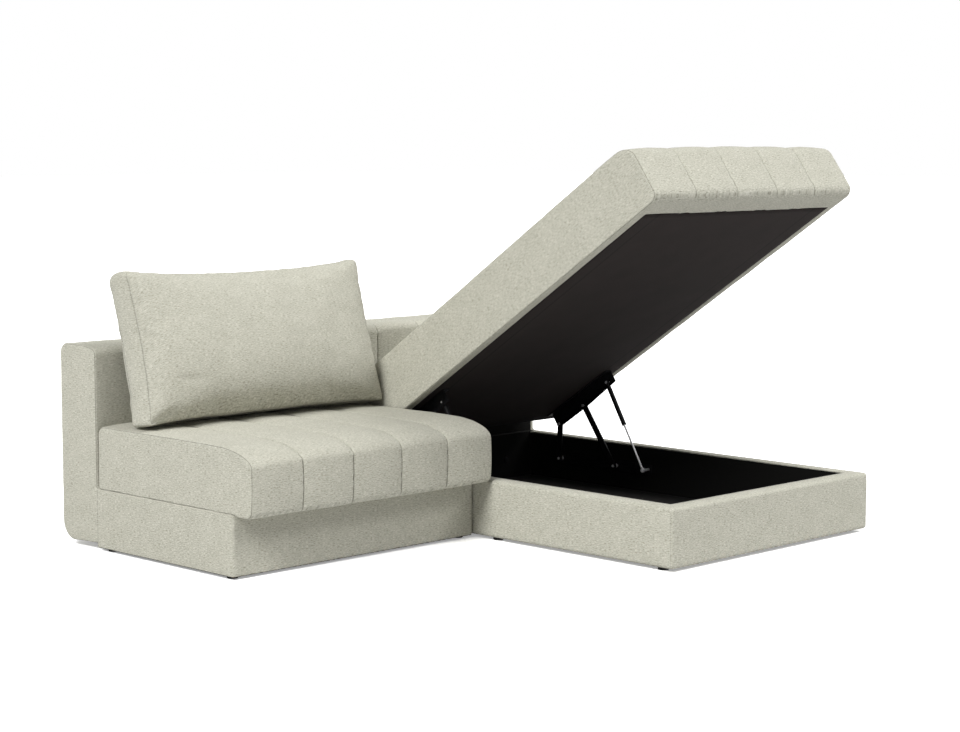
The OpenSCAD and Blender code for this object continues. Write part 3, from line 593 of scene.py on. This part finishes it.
class LidPadding(Padding):
    """The lifting seat's cushion, sewn round its frame, with a border underneath."""

    depth = 0.5
    bottom_edge = 0.8
    coarse = (0.020, 0.014, 0.012)
    corners = ((False, True, 0.072, 0.058), (False, False, 0.036, 0.032),
               (True, True, 0.045, 0.045), (True, False, 0.009, 0.009))
    hem = 0.006
    recess = 0.0022

    def __init__(self, low, high, sizes):
        super().__init__(low, high, sizes)
        cloth = shut_box("lid_dust_cloth")
        self.cloth = [corner - low for corner in cloth]
        self.cloth[1].y = self.size.y + 0.02

    def extra_marks(self):
        low, high = self.cloth
        steps = (-self.hem, -0.0015, 0.0015)
        return ([p for s in steps for p in (low.x + s, high.x - s)],
                [p for s in steps for p in (low.y + s, high.y - s)], [])

    def shares(self, y, z):
        return 1.0, 1.0 - 0.35 * smooth(y, 0.1, 0.9)

    def insets(self, y, z):
        lean = 0.008 * (max(0.0, z) / self.size.z) ** 1.3
        room_for_cloth = 0.0025 * smooth(z, 0.08, 0.06)
        slope = 0.005 * smooth(y, 0.2, 1.1)
        return lean, room_for_cloth, 0.0, slope

    def relief(self, point, normal):
        """Leaves out the relief under the wrapped cloth, and most of the painted shade in the channels' seams."""
        height, seam = super().relief(point, normal)
        wrapped = smooth(self.size.y - point.y, 0.04, 0.02) * smooth(point.z, 0.09, 0.07)
        channel = min(point.x, self.size.x - point.x) > 0.02
        faint = 0.55 * channel * smooth(point.z, 0.06, 0.14)
        return height * (1 - wrapped), seam * (1 - faint)

    def make(self):
        """Turns the cloth in underneath, round the black cloth that covers the frame."""
        bm = super().make()
        low, high = self.cloth
        for v in bm.verts:
            place = v.co - self.low
            v.co.z = max(v.co.z, self.low.z - 0.0002)
            if place.z > 0.008 or v.normal.z > -0.8:
                continue
            inside = min(*(place - low).xy, *(high - place).xy)
            if inside > 0:
                v.co.z = self.low.z + self.recess
            elif inside > -self.hem - 0.0005:
                v.co.z = self.low.z - 0.0003
        return bm


class BackPadding(Padding):
    """A backrest, channelled in front, with its outer side swollen and its inner side flat."""

    bottom_edge = 0.5
    top_seam = 0.6
    coarse = (0.022, 0.013, 0.013)
    corners = ((False, True, 0.028, 0.028), (False, False, 0.010, 0.010),
               (True, True, 0.034, 0.034), (True, False, 0.070, 0.070))

    def __init__(self, low, high, sizes, step, outer):
        super().__init__(low, high, sizes)
        self.step, self.outer = step, outer

    def extra_marks(self):
        return [], [], [self.step - 0.002, self.step + 0.002]

    def shares(self, y, z):
        return (1.0 if z > self.step else 0.0), max(0.0, 1 - y / 0.075)

    def insets(self, y, z):
        return 0.0, 0.0, 0.008 * (1 - y / self.size.y), 0.0


def padded_piece(bm, name, body, *nodes, fill):
    """Finishes an upholstered piece that stands for one or more CAD nodes.

    What rides on the lifting seat is made with the seat shut, and lifted here."""
    weave_uv(bm)
    if body == "lifting_seat":
        bmesh.ops.transform(bm, matrix=LIFT, verts=bm.verts)
    piece = finish_piece(bm, name, "upholstery")
    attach(piece, body)
    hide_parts(*nodes)


class SOFA_OT_seat_cushion(bpy.types.Operator):
    """Makes the seat cushion, with its sewn channels and side panels"""

    bl_idname = "sofa.seat_cushion"
    bl_label = "Seat cushion"

    def execute(self, context):
        cushion = SeatPadding(*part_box("seat_cushion"), context.scene.sofa_sizes)
        padded_piece(cushion.make(), "padded_seat_cushion", "sofa_body", "seat_cushion", fill=0.9)
        return {"FINISHED"}


class SOFA_OT_lifting_seat(bpy.types.Operator):
    """Makes the lifting seat's cushion, sewn over its frame, with its border underneath"""

    bl_idname = "sofa.lifting_seat"
    bl_label = "Lifting seat"

    def execute(self, context):
        nodes = "lid_cushion", "lid_border"
        seat = LidPadding(*shut_box(*nodes), context.scene.sofa_sizes)
        padded_piece(seat.make(), "padded_lifting_seat", "lifting_seat", *nodes, fill=0.9)
        return {"FINISHED"}


class SOFA_OT_backrests(bpy.types.Operator):
    """Makes the two backrests, channelled in front and wrapped over the top and rear"""

    bl_idname = "sofa.backrests"
    bl_label = "Backrests"

    def execute(self, context):
        for module, outer in (("seat", (1.0, 0.0)), ("chaise", (0.0, 1.0))):
            shell, pad = f"{module}_back_shell", f"{module}_back_pad"
            low, high = box_of(shell, pad)
            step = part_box(pad)[0].z - low.z
            back = BackPadding(low, high, context.scene.sofa_sizes, step, outer)
            padded_piece(back.make(), f"padded_{module}_backrest", "sofa_body", shell, pad,
                         fill=0.95)
        return {"FINISHED"}


class Cover:
    """A cover round a base: padded walls round an opening, closed above and open below.

    wall is (left, front, right, rear), the distances from the box to the opening; plan is the
    radius of the front corners seen from above, brim that of the outer top edge and hem that
    of the outer bottom edge."""

    side_seam = 0.008
    lip_drop = 0.0045
    lip_back = 0.003

    def __init__(self, node, wall, plan, brim, hem, swell):
        self.node, self.plan = node, plan
        self.brim, self.hem, self.swell = brim, hem, swell
        self.low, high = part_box(node)
        self.size = high - self.low
        left, front, right, rear = wall
        self.opening = (left, self.size.x - right), (front, self.size.y - rear)

    def depth(self, x, y):
        """Distance inside the cover's outline, and the way inward."""
        right = x > self.size.x / 2
        dx = self.size.x - x if right else x
        side = -1 if right else 1
        if dx < self.plan and y < self.plan:
            out = Vector((self.plan - dx, self.plan - y))
            far = out.length
            if far > 1e-6:
                return self.plan - far, Vector((side * out.x, out.y)) / far
        return (dx, Vector((side, 0))) if dx < y else (y, Vector((0, 1)))

    def ring(self):
        """The walls on their grid, with a hole from top to bottom."""
        size, (across, along) = self.size, self.opening
        arcs = [r * (1 - math.cos(math.radians(a))) for r in (self.brim, self.hem)
                for a in range(0, 91, 15)]
        plan = arcs + [self.plan * i / 6 for i in range(1, 7)]
        plan += [self.side_seam + step for step in (-0.0015, 0, 0.0015)]
        bm = grid_box([
            lines_between(size.x, [p for r in plan for p in (r, size.x - r)] + [*across], 0.016),
            lines_between(size.y, plan + [size.y - 0.004, size.y - 0.002] + [*along], 0.016),
            lines_between(size.z, [p for r in arcs for p in (r, size.z - r)], 0.013)])
        holes = [face for face in bm.faces if abs(face.normal.z) > 0.5
                 and across[0] < face.calc_center_median().x < across[1]
                 and along[0] < face.calc_center_median().y < along[1]]
        bmesh.ops.delete(bm, geom=holes, context="FACES")
        lower = [e for e in bm.edges if e.is_boundary and e.verts[0].co.z < size.z / 2]
        inner = [e for e in bm.edges if e.is_boundary and e.verts[0].co.z > size.z / 2]
        inner = self.lip(bm, inner, self.lip_drop, 0.0)
        inner = self.lip(bm, inner, 0.0, self.lip_back)
        self.widen({v for e in lower for v in e.verts}, self.lip_back)
        bmesh.ops.bridge_loops(bm, edges=inner + lower)
        return bm

    def lip(self, bm, edges, drop, back):
        """Carries the opening's edge down, and back behind the lining."""
        made = bmesh.ops.extrude_edge_only(bm, edges=edges)["geom"]
        moved = {v for v in made if isinstance(v, bmesh.types.BMVert)}
        for v in moved:
            v.co.z -= drop
        self.widen(moved, back)
        return [e for e in made if isinstance(e, bmesh.types.BMEdge)]

    def widen(self, verts, back):
        """Moves the vertices at the opening's edge back into the walls."""
        for v in verts:
            for axis, (first, last) in enumerate(self.opening):
                if abs(v.co[axis] - first) < 1e-6:
                    v.co[axis] -= back
                elif abs(v.co[axis] - last) < 1e-6:
                    v.co[axis] += back

    def make(self):
        size = self.size
        bm = self.ring()
        for v in bm.verts:
            x, y, z = v.co
            x, y = rounded(x, y, size.x, size.y, ((0, 0, self.plan, self.plan),
                                                  (1, 0, self.plan, self.plan)))
            near, inward = self.depth(x, y)
            for top, r in ((True, self.brim), (False, self.hem)):
                up = size.z - z if top else z
                if near < r and up < r:
                    a, b = disc(1 - near / r, 1 - up / r)
                    x, y = Vector((x, y)) + inward * (r * (1 - a) - near)
                    z = size.z - r * (1 - b) if top else r * (1 - b)
                    break
            v.co = (x, y, z)
        bmesh.ops.recalc_face_normals(bm, faces=bm.faces)
        bm.normal_update()
        sewn = bm.verts.layers.float.new("seam")
        moves = []
        for v in bm.verts:
            x, y, z = v.co
            outside = self.depth(x, y)[0] < 0.004 and 0.004 < z < size.z - 0.004
            sideways = abs(v.normal.x)
            # Painted shade: a dark line at the rear end of the side faces, in the joint with the part behind, and
            # a fainter one along the box's side seam.
            joint = 0.8 * seam_line(size.y - y, 0.004) if sideways > 0.6 else 0.0
            side = 0.5 * seam_line(y - self.side_seam, 0.0016)
            side *= sideways > 0.7 and self.swell > 0
            v[sewn] = max(side, joint) if outside else 0.0
            swell = self.swell * (1 - (2 * z / size.z - 1) ** 4)
            moves.append(swell + unevenness(v.co, (8.0, 0.0010)) if outside else 0.0)
        for v, move in zip(bm.verts, moves):
            v.co += v.normal * move
        bmesh.ops.translate(bm, vec=self.low, verts=bm.verts)
        padded_piece(bm, "padded_" + self.node, "sofa_body", self.node, fill=0.95)


class SOFA_OT_base_covers(bpy.types.Operator):
    """Makes the upholstered covers round the seat's base and round the storage box"""

    bl_idname = "sofa.base_covers"
    bl_label = "Base covers"

    def execute(self, context):
        low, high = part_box("box_cover")
        floor_low, floor_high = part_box("box_floor")
        wall = (floor_low.x - low.x, floor_low.y - low.y, high.x - floor_high.x,
                high.y - floor_high.y)
        Cover("box_cover", wall, plan=0.010, brim=0.013, hem=0.012, swell=0.0015).make()
        Cover("seat_base_cover", (0.03, 0.03, 0.03, 0.026), plan=0.014, brim=0.005, hem=0.005,
              swell=0.0).make()
        return {"FINISHED"}


# Pillow

# Folds of its front: from and to (X and Z on the empty cover), depth and width
CREASES = [((0.006, 0.004), (0.118, 0.048), 0.0075, 0.012),
           ((0.118, 0.128), (0.232, 0.119), 0.0034, 0.013),
           ((1.040, 0.432), (0.955, 0.440), 0.0030, 0.010),
           ((1.040, 0.172), (0.945, 0.186), 0.0036, 0.011),
           ((1.040, 0.128), (0.968, 0.120), 0.0024, 0.009)]


LATTICE = (104, 8, 50)
LOWER_CORNER, UPPER_CORNER = 0.014, 0.026
SAG = 0.25
FRONT_SWELL, REAR_SWELL = 0.088, 0.098
INFLATING_FRAMES = 20
MOST_MOVE, SIDEWAYS_SHARE = 0.014, 0.35


def crease_depth(x, z):
    """Depth of the pillow's folds at a point of its front."""
    depth = 0.0
    for start, end, deep, wide in CREASES:
        start, way = Vector(start), Vector(end) - Vector(start)
        along = (Vector((x, z)) - start).dot(way) / way.length_squared
        if -0.1 < along < 1.1:
            away = (Vector((x, z)) - start - way * along).length
            depth += deep * math.exp(-(away / wide) ** 2) * smooth((1.1 - along) * 1.2)
    return depth


def pillow_point(point, size):
    """Where a point of the pillow's flat pattern lies once the pillow is filled."""
    x, y, z = point
    swell = FRONT_SWELL if y < 1e-6 else -REAR_SWELL if y > size[1] - 1e-6 else 0.0
    u, v = 2 * x / size[0] - 1, 2 * z / size[2] - 1
    corners = [(right, top, radius, radius) for right in (0, 1)
               for top, radius in enumerate((LOWER_CORNER, UPPER_CORNER))]
    x, z = rounded(x, z, size[0], size[2], corners)
    sagged = v + SAG * (1 - v * v)
    power = 0.62 if sagged > 0 else 0.74
    full = max(0.0, 1 - u * u) ** 0.5 * max(0.0, 1 - sagged * sagged) ** power
    band = 1 - (2 * y / size[1] - 1) ** 2
    ear_x, ear_z = 0.007 * band * u ** 9, 0.006 * band * max(0.0, v) ** 9
    waist, dip = 0.012 * u * (1 - v * v), 0.022 * max(0.0, v) * (1 - u * u)
    droop = 0.011 * max(0.0, -v) ** 5 * u ** 4 * (1 - y / size[1])
    return Vector((x + (ear_x - waist - size[0] / 2), y - size[1] / 2 - swell * full,
                   z + (ear_z - dip) - droop))


def inflated_moves(size):
    """How far cloth under pressure moves from the filled shape, at the points of a lattice."""
    bm = grid_box([[length * i / n for i in range(n + 1)] for length, n in zip(size, LATTICE)])
    keys = [tuple(round(c * n / length) for c, n, length in zip(v.co, LATTICE, size))
            for v in bm.verts]
    for v in bm.verts:
        v.co = pillow_point(v.co, size)
    balloon = linked("inflating", bm)
    before = [v.co.copy() for v in balloon.data.vertices]
    cloth = balloon.modifiers.new("Cloth", "CLOTH")
    settings = cloth.settings
    settings.quality = 6
    settings.mass = 0.4
    settings.tension_stiffness = settings.compression_stiffness = 15
    settings.shear_stiffness = 8
    settings.bending_stiffness = 0.6
    settings.use_pressure = True
    settings.uniform_pressure_force = 4.0
    settings.shrink_min = -0.03
    settings.effector_weights.gravity = 0.0
    cloth.collision_settings.use_collision = False
    for number in range(INFLATING_FRAMES):
        bpy.context.scene.frame_set(number + 1)
    shape = balloon.evaluated_get(bpy.context.evaluated_depsgraph_get())
    moves = {}
    for key, vertex, start in zip(keys, shape.data.vertices, before):
        move = vertex.co - start
        move *= min(1.0, MOST_MOVE / max(move.length, 1e-9))
        moves[key] = Vector((move.x * SIDEWAYS_SHARE, move.y, move.z * SIDEWAYS_SHARE))
    bpy.data.objects.remove(balloon)
    bpy.context.scene.frame_set(1)
    return moves


def sampled(moves, point, size):
    """The lattice's move at a point of the pattern's surface."""
    places = [c * n / length for c, n, length in zip(point, LATTICE, size)]
    cells = [min(n - 1, int(p)) for p, n in zip(places, LATTICE)]
    total, weight = Vector((0, 0, 0)), 0.0
    for corner in itertools.product((0, 1), repeat=3):
        share = math.prod(p - c if k else 1 - p + c for p, c, k in zip(places, cells, corner))
        key = tuple(c + k for c, k in zip(cells, corner))
        if share > 1e-9 and key in moves:
            total += moves[key] * share
            weight += share
    return total / weight if weight else total


class SOFA_OT_pillow(bpy.types.Operator):
    """Makes the loose back pillow: two swollen faces sewn to a band"""

    bl_idname = "sofa.pillow"
    bl_label = "Back pillow"

    def execute(self, context):
        sizes = context.scene.sofa_sizes
        size = tuple(sizes.pillow_size)
        moves = inflated_moves(size)
        steps = (0.0014, 0.0032, 0.007, 0.014)
        bm = grid_box([lines_between(length, [m for s in steps for m in (s, length - s)], 0.0095)
                       for length in size])
        sewn = bm.verts.layers.float.new("seam")
        heights = []
        for v in bm.verts:
            pattern = v.co.copy()
            x, y, z = pattern
            band = 1e-6 < y < size[1] - 1e-6
            rim = min(x, size[0] - x, z, size[2] - z)
            seam = min(y, size[1] - y) if band else rim
            # Painted shade along the seams.
            v[sewn] = 0.65 * seam_line(seam, 0.0016)
            v.co = pillow_point(pattern, size) + sampled(moves, pattern, size)
            heights.append(self.relief(pattern, seam, y < 1e-6) - 0.0012 * seam_line(seam, 0.003))
        bm.normal_update()
        for v, height in zip(bm.verts, heights):
            v.co += v.normal * height
        self.settle(bm, sizes.lean)
        padded_piece(bm, "padded_pillow", "pillow", "back_pillow", fill=0.65)
        return {"FINISHED"}

    @staticmethod
    def relief(pattern, seam, front):
        """Puckers along the seams, folds of the front and a soft unevenness."""
        along = pattern.x + pattern.z
        pucker = noise.noise(Vector((along * 26, pattern.y * 8, 0.3))) * math.exp(-seam / 0.020)
        uneven = unevenness(pattern, (6.0, 0.0045), (17.0, 0.0014))
        fold = crease_depth(pattern.x, pattern.z) if front else 0.0
        return 0.0026 * pucker + uneven * smooth(seam, 0.0, 0.05) - fold

    @staticmethod
    def settle(bm, lean):
        """Leans the pillow back, sets it on the seat and presses its foot flat."""
        low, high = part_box("back_pillow")
        bmesh.ops.transform(bm, matrix=Matrix.Rotation(-lean, 4, "X"), verts=bm.verts)
        mine_low, mine_high = corners_of(v.co for v in bm.verts)
        shift = Vector(((low.x + high.x) / 2, high.y + 0.006 - mine_high.y, low.z - mine_low.z))
        bmesh.ops.translate(bm, vec=shift, verts=bm.verts)
        for v in bm.verts:
            v.co.z = max(v.co.z, low.z + 0.0005)


# Cloths


class SOFA_OT_dust_cloths(bpy.types.Operator):
    """Makes the black cloths under the lifting seat and under the base, and a black sheet behind the seat"""

    bl_idname = "sofa.dust_cloths"
    bl_label = "Dust cloths"

    def execute(self, context):
        self.under_lifting_seat()
        self.behind_lifting_seat()
        self.under_base()
        return {"FINISHED"}

    def under_lifting_seat(self):
        """Black cloth over the frame's underside, wrapped up round its rear edge, with painted light on it."""
        low, high = shut_box("lid_dust_cloth")
        low.z += 0.0008
        thick, corner, rise = 0.0012, 0.011, 0.045
        quarter = corner * math.pi / 2
        bend = shut_box("lid_border")[1].y - 0.010 - low.y
        size = Vector((high.x - low.x, bend + quarter + rise, thick))
        groove, half, margin, fade = 0.078, 0.006, 0.09, 0.05
        marks = [e + s for e in (groove, size.x - groove) for s in (-half, -0.002, 0.002, half)]
        arc = [bend + quarter * i / 6 for i in range(7)]
        bm = grid_box([lines_between(size.x, marks, 0.02), lines_between(size.y, arc, 0.03),
                       [0.0, size.z]])
        # Painted light and shade: the cloth takes the lit tone at the front, with painted shade along two grooves,
        # and fades to the dark tone towards the rear edge, where it lies in shade.
        layer = bm.verts.layers.float.new("brushed")
        for v in bm.verts:
            x, y, z = v.co
            away = min(abs(x - groove), abs(size.x - groove - x))
            v[layer] = (1 - 0.8 * seam_line(away, half)) * smooth(bend - y, 0.0, fade)
            if margin < x < size.x - margin and y < bend - fade:
                z += unevenness(Vector((x, y, 0)), (6, 0.0006))
            turn = min(math.pi / 2, max(0.0, (y - bend) / corner))
            over = max(0.0, y - bend - quarter)
            radius = corner - z
            y = min(y, bend) + radius * math.sin(turn)
            z = corner - radius * math.cos(turn) + over if turn else z
            v.co = low + Vector((x, y, z))
        bmesh.ops.transform(bm, matrix=LIFT, verts=bm.verts)
        piece = finish_piece(bm, "lifting_seat_dust_cloth", "black_cloth")
        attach(piece, "lifting_seat")
        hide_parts("lid_dust_cloth")

    def behind_lifting_seat(self):
        """A black sheet down the backrest's lower front, over the box's rear wall and into the box, that keeps the
        deep gap behind the lifting seat black.
        """
        pad_low, pad_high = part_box("chaise_back_pad")
        rear, front = pad_low.y - 0.0020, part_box("box_floor")[1].y - 0.0004
        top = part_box("box_cover")[1].z + 0.00005
        upper_end, lower_end, thick = 0.400, 0.150, 0.0003
        path = [(rear, upper_end), (rear, top), (front, top), (front, lower_end)]
        face = [(rear - thick, upper_end), (rear - thick, top + thick),
                (front - thick, top + thick), (front - thick, lower_end)]
        width = (pad_low.x + 0.060, pad_high.x - 0.028)
        bm = bmesh.new()
        ring = [[bm.verts.new((x, y, z)) for y, z in path + face[::-1]] for x in width]
        bm.faces.new(ring[0])
        bm.faces.new(ring[1][::-1])
        for i in range(len(ring[0])):
            j = (i + 1) % len(ring[0])
            bm.faces.new((ring[0][j], ring[0][i], ring[1][i], ring[1][j]))
        bmesh.ops.recalc_face_normals(bm, faces=bm.faces)
        piece = finish_piece(bm, "backrest_dust_cloth", "black_cloth", False)
        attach(piece, "sofa_body")

    def under_base(self):
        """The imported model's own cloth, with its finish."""
        piece = finish_piece(form_of("seat_dust_cloth"), "base_dust_cloth", "black_cloth", False)
        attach(piece, "sofa_body")
        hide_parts("seat_dust_cloth")


# Steel, plastic and timber

BEVELS = {"black_steel": 0.0006, "bright_steel": 0.0005, "black_plastic": 0.0012}
SHARP, FLAT = math.radians(40), math.radians(35)
PLAIN_SLOTS = ("timber", "black_board", "black_cloth")
REMADE_CLOTHS = ("lid_dust_cloth", "seat_dust_cloth")


class SOFA_OT_hardware(bpy.types.Operator):
    """Gives every steel and plastic piece its softened edges and its finish"""

    bl_idname = "sofa.hardware"
    bl_label = "Hardware"

    def execute(self, context):
        for node, slot in SLOT_OF.items():
            if slot in BEVELS:
                self.soften(node, slot)
        return {"FINISHED"}

    def soften(self, node, slot):
        bm = form_of(node)
        bmesh.ops.dissolve_limit(bm, angle_limit=math.radians(1), verts=bm.verts, edges=bm.edges)
        sharp = [e for e in bm.edges if len(e.link_faces) == 2 and e.calc_face_angle() > SHARP]
        bmesh.ops.bevel(bm, geom=sharp, offset=BEVELS[slot], segments=2, profile=0.5,
                        affect="EDGES", clamp_overlap=True, material=-1)
        for edge in bm.edges:
            edge.smooth = len(edge.link_faces) == 2 and edge.calc_face_angle() < FLAT
        piece = finish_piece(bm, "softened_" + node, slot)
        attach(piece, BODY_OF[node])
        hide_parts(node)


class SOFA_OT_frame_finishes(bpy.types.Operator):
    """Gives the boards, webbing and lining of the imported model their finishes"""

    bl_idname = "sofa.frame_finishes"
    bl_label = "Frame finishes"

    def execute(self, context):
        for node, slot in SLOT_OF.items():
            if slot in PLAIN_SLOTS and node not in REMADE_CLOTHS:
                mesh = frame["nodes"][node].data
                mesh.materials.clear()
                mesh.materials.append(finish_of(slot))
        return {"FINISHED"}


# Stage

# Turn, strength and angle across, in degrees
SUNS = {"key_light": ((46, 0, -76), 3.2, 24), "fill_light": ((45, 0, 44), 2.05, 30)}
CAMERA_PLACE, CAMERA_TURN = (-5.3697, -5.4137, 1.4103), (84.006, 0, -45.015)
LENS, SENSOR = 81.716, 36
WHITE = (1.0, 1.0, 1.0, 1.0)
WORLD_FILL = 0.24
# The floor's grey, what the camera sees on top of it, and the light it gives the camera
FLOOR_GREY, FLOOR_EXTRA, FLOOR_GLOW = 0.65, 0.6, 0.33


class SOFA_OT_stage(bpy.types.Operator):
    """Sets the floor, the light and the camera"""

    bl_idname = "sofa.stage"
    bl_label = "Stage"

    def execute(self, context):
        scene = context.scene
        scene.view_settings.view_transform = "Standard"
        self.floor()
        self.world(scene)
        for name, (turn, strength, angle) in SUNS.items():
            light = bpy.data.lights.new(name, "SUN")
            light.energy, light.angle = strength, math.radians(angle)
            linked(name, light, turn)
        camera = bpy.data.cameras.new("camera")
        camera.lens, camera.sensor_width = LENS, SENSOR
        scene.camera = linked("camera", camera, CAMERA_TURN)
        scene.camera.location = CAMERA_PLACE
        return {"FINISHED"}

    def seen(self, finish):
        """1 for the rays that show the background: camera, mirror and glass rays."""
        camera, mirror, glass = (
            finish.add("ShaderNodeLightPath", output=f"Is {kind} Ray")
            for kind in ("Camera", "Glossy", "Transmission"))
        return camera.sum("MAXIMUM", mirror).sum("MAXIMUM", glass)

    def floor(self):
        """A white floor that shows only the deep shadow right under the object."""
        bm = bmesh.new()
        bmesh.ops.create_grid(bm, x_segments=4, y_segments=4, size=60)
        floor = linked("floor", bm)
        finish = Finish(bpy.data.materials.new("floor"))
        diffuse, add_shader = "ShaderNodeBsdfDiffuse", "ShaderNodeAddShader"
        plain = finish.add(diffuse, inputs={"Color": colour(WHITE, FLOOR_GREY)})
        extra = finish.add(diffuse, inputs={"Color": self.seen(finish) * FLOOR_EXTRA})
        glow = finish.add("ShaderNodeEmission",
                          inputs={"Strength": self.seen(finish) * FLOOR_GLOW})
        both = finish.add(add_shader, inputs={0: plain, 1: extra})
        both = finish.add(add_shader, inputs={0: both, 1: glow})
        finish.add("ShaderNodeOutputMaterial", inputs={"Surface": both})
        floor.data.materials.append(finish.owner)

    def world(self, scene):
        """A white background, and a soft fill for everything that it lights."""
        finish = Finish(bpy.data.worlds.new("studio"))
        fill, seen = (
            finish.add("ShaderNodeBackground", inputs={"Color": WHITE, "Strength": strength})
            for strength in (WORLD_FILL, 1.0))
        mixed = finish.add("ShaderNodeMixShader",
                           inputs={0: self.seen(finish), 1: fill, 2: seen})
        finish.add("ShaderNodeOutputWorld", inputs={"Surface": mixed})
        scene.world = finish.owner


OPERATORS = (SOFA_OT_seat_cushion, SOFA_OT_lifting_seat, SOFA_OT_backrests,
             SOFA_OT_base_covers, SOFA_OT_pillow, SOFA_OT_dust_cloths, SOFA_OT_hardware,
             SOFA_OT_frame_finishes, SOFA_OT_stage)


class SOFA_PT_panel(bpy.types.Panel):
    """Lists the pieces of the sofa"""

    bl_label = "Storage sofa"
    bl_idname = "SOFA_PT_panel"
    bl_space_type = "VIEW_3D"
    bl_region_type = "UI"
    bl_category = "Sofa"

    def draw(self, context):
        for group in (context.scene.sofa_sizes, context.scene.sofa_colours):
            for name in group.__annotations__:
                self.layout.prop(group, name)
        for operator in OPERATORS:
            self.layout.operator(operator.bl_idname)


CLASSES = (SofaSizes, SofaColours, *OPERATORS, SOFA_PT_panel)


def register():
    for cls in CLASSES:
        bpy.utils.register_class(cls)
    bpy.types.Scene.sofa_sizes = PointerProperty(type=SofaSizes)
    bpy.types.Scene.sofa_colours = PointerProperty(type=SofaColours)


def unregister():
    del bpy.types.Scene.sofa_sizes, bpy.types.Scene.sofa_colours
    for cls in reversed(CLASSES):
        bpy.utils.unregister_class(cls)


def main():
    register()
    for operator in OPERATORS:
        group, name = operator.bl_idname.split(".")
        getattr(getattr(bpy.ops, group), name)()


if __name__ == "__main__":
    main()
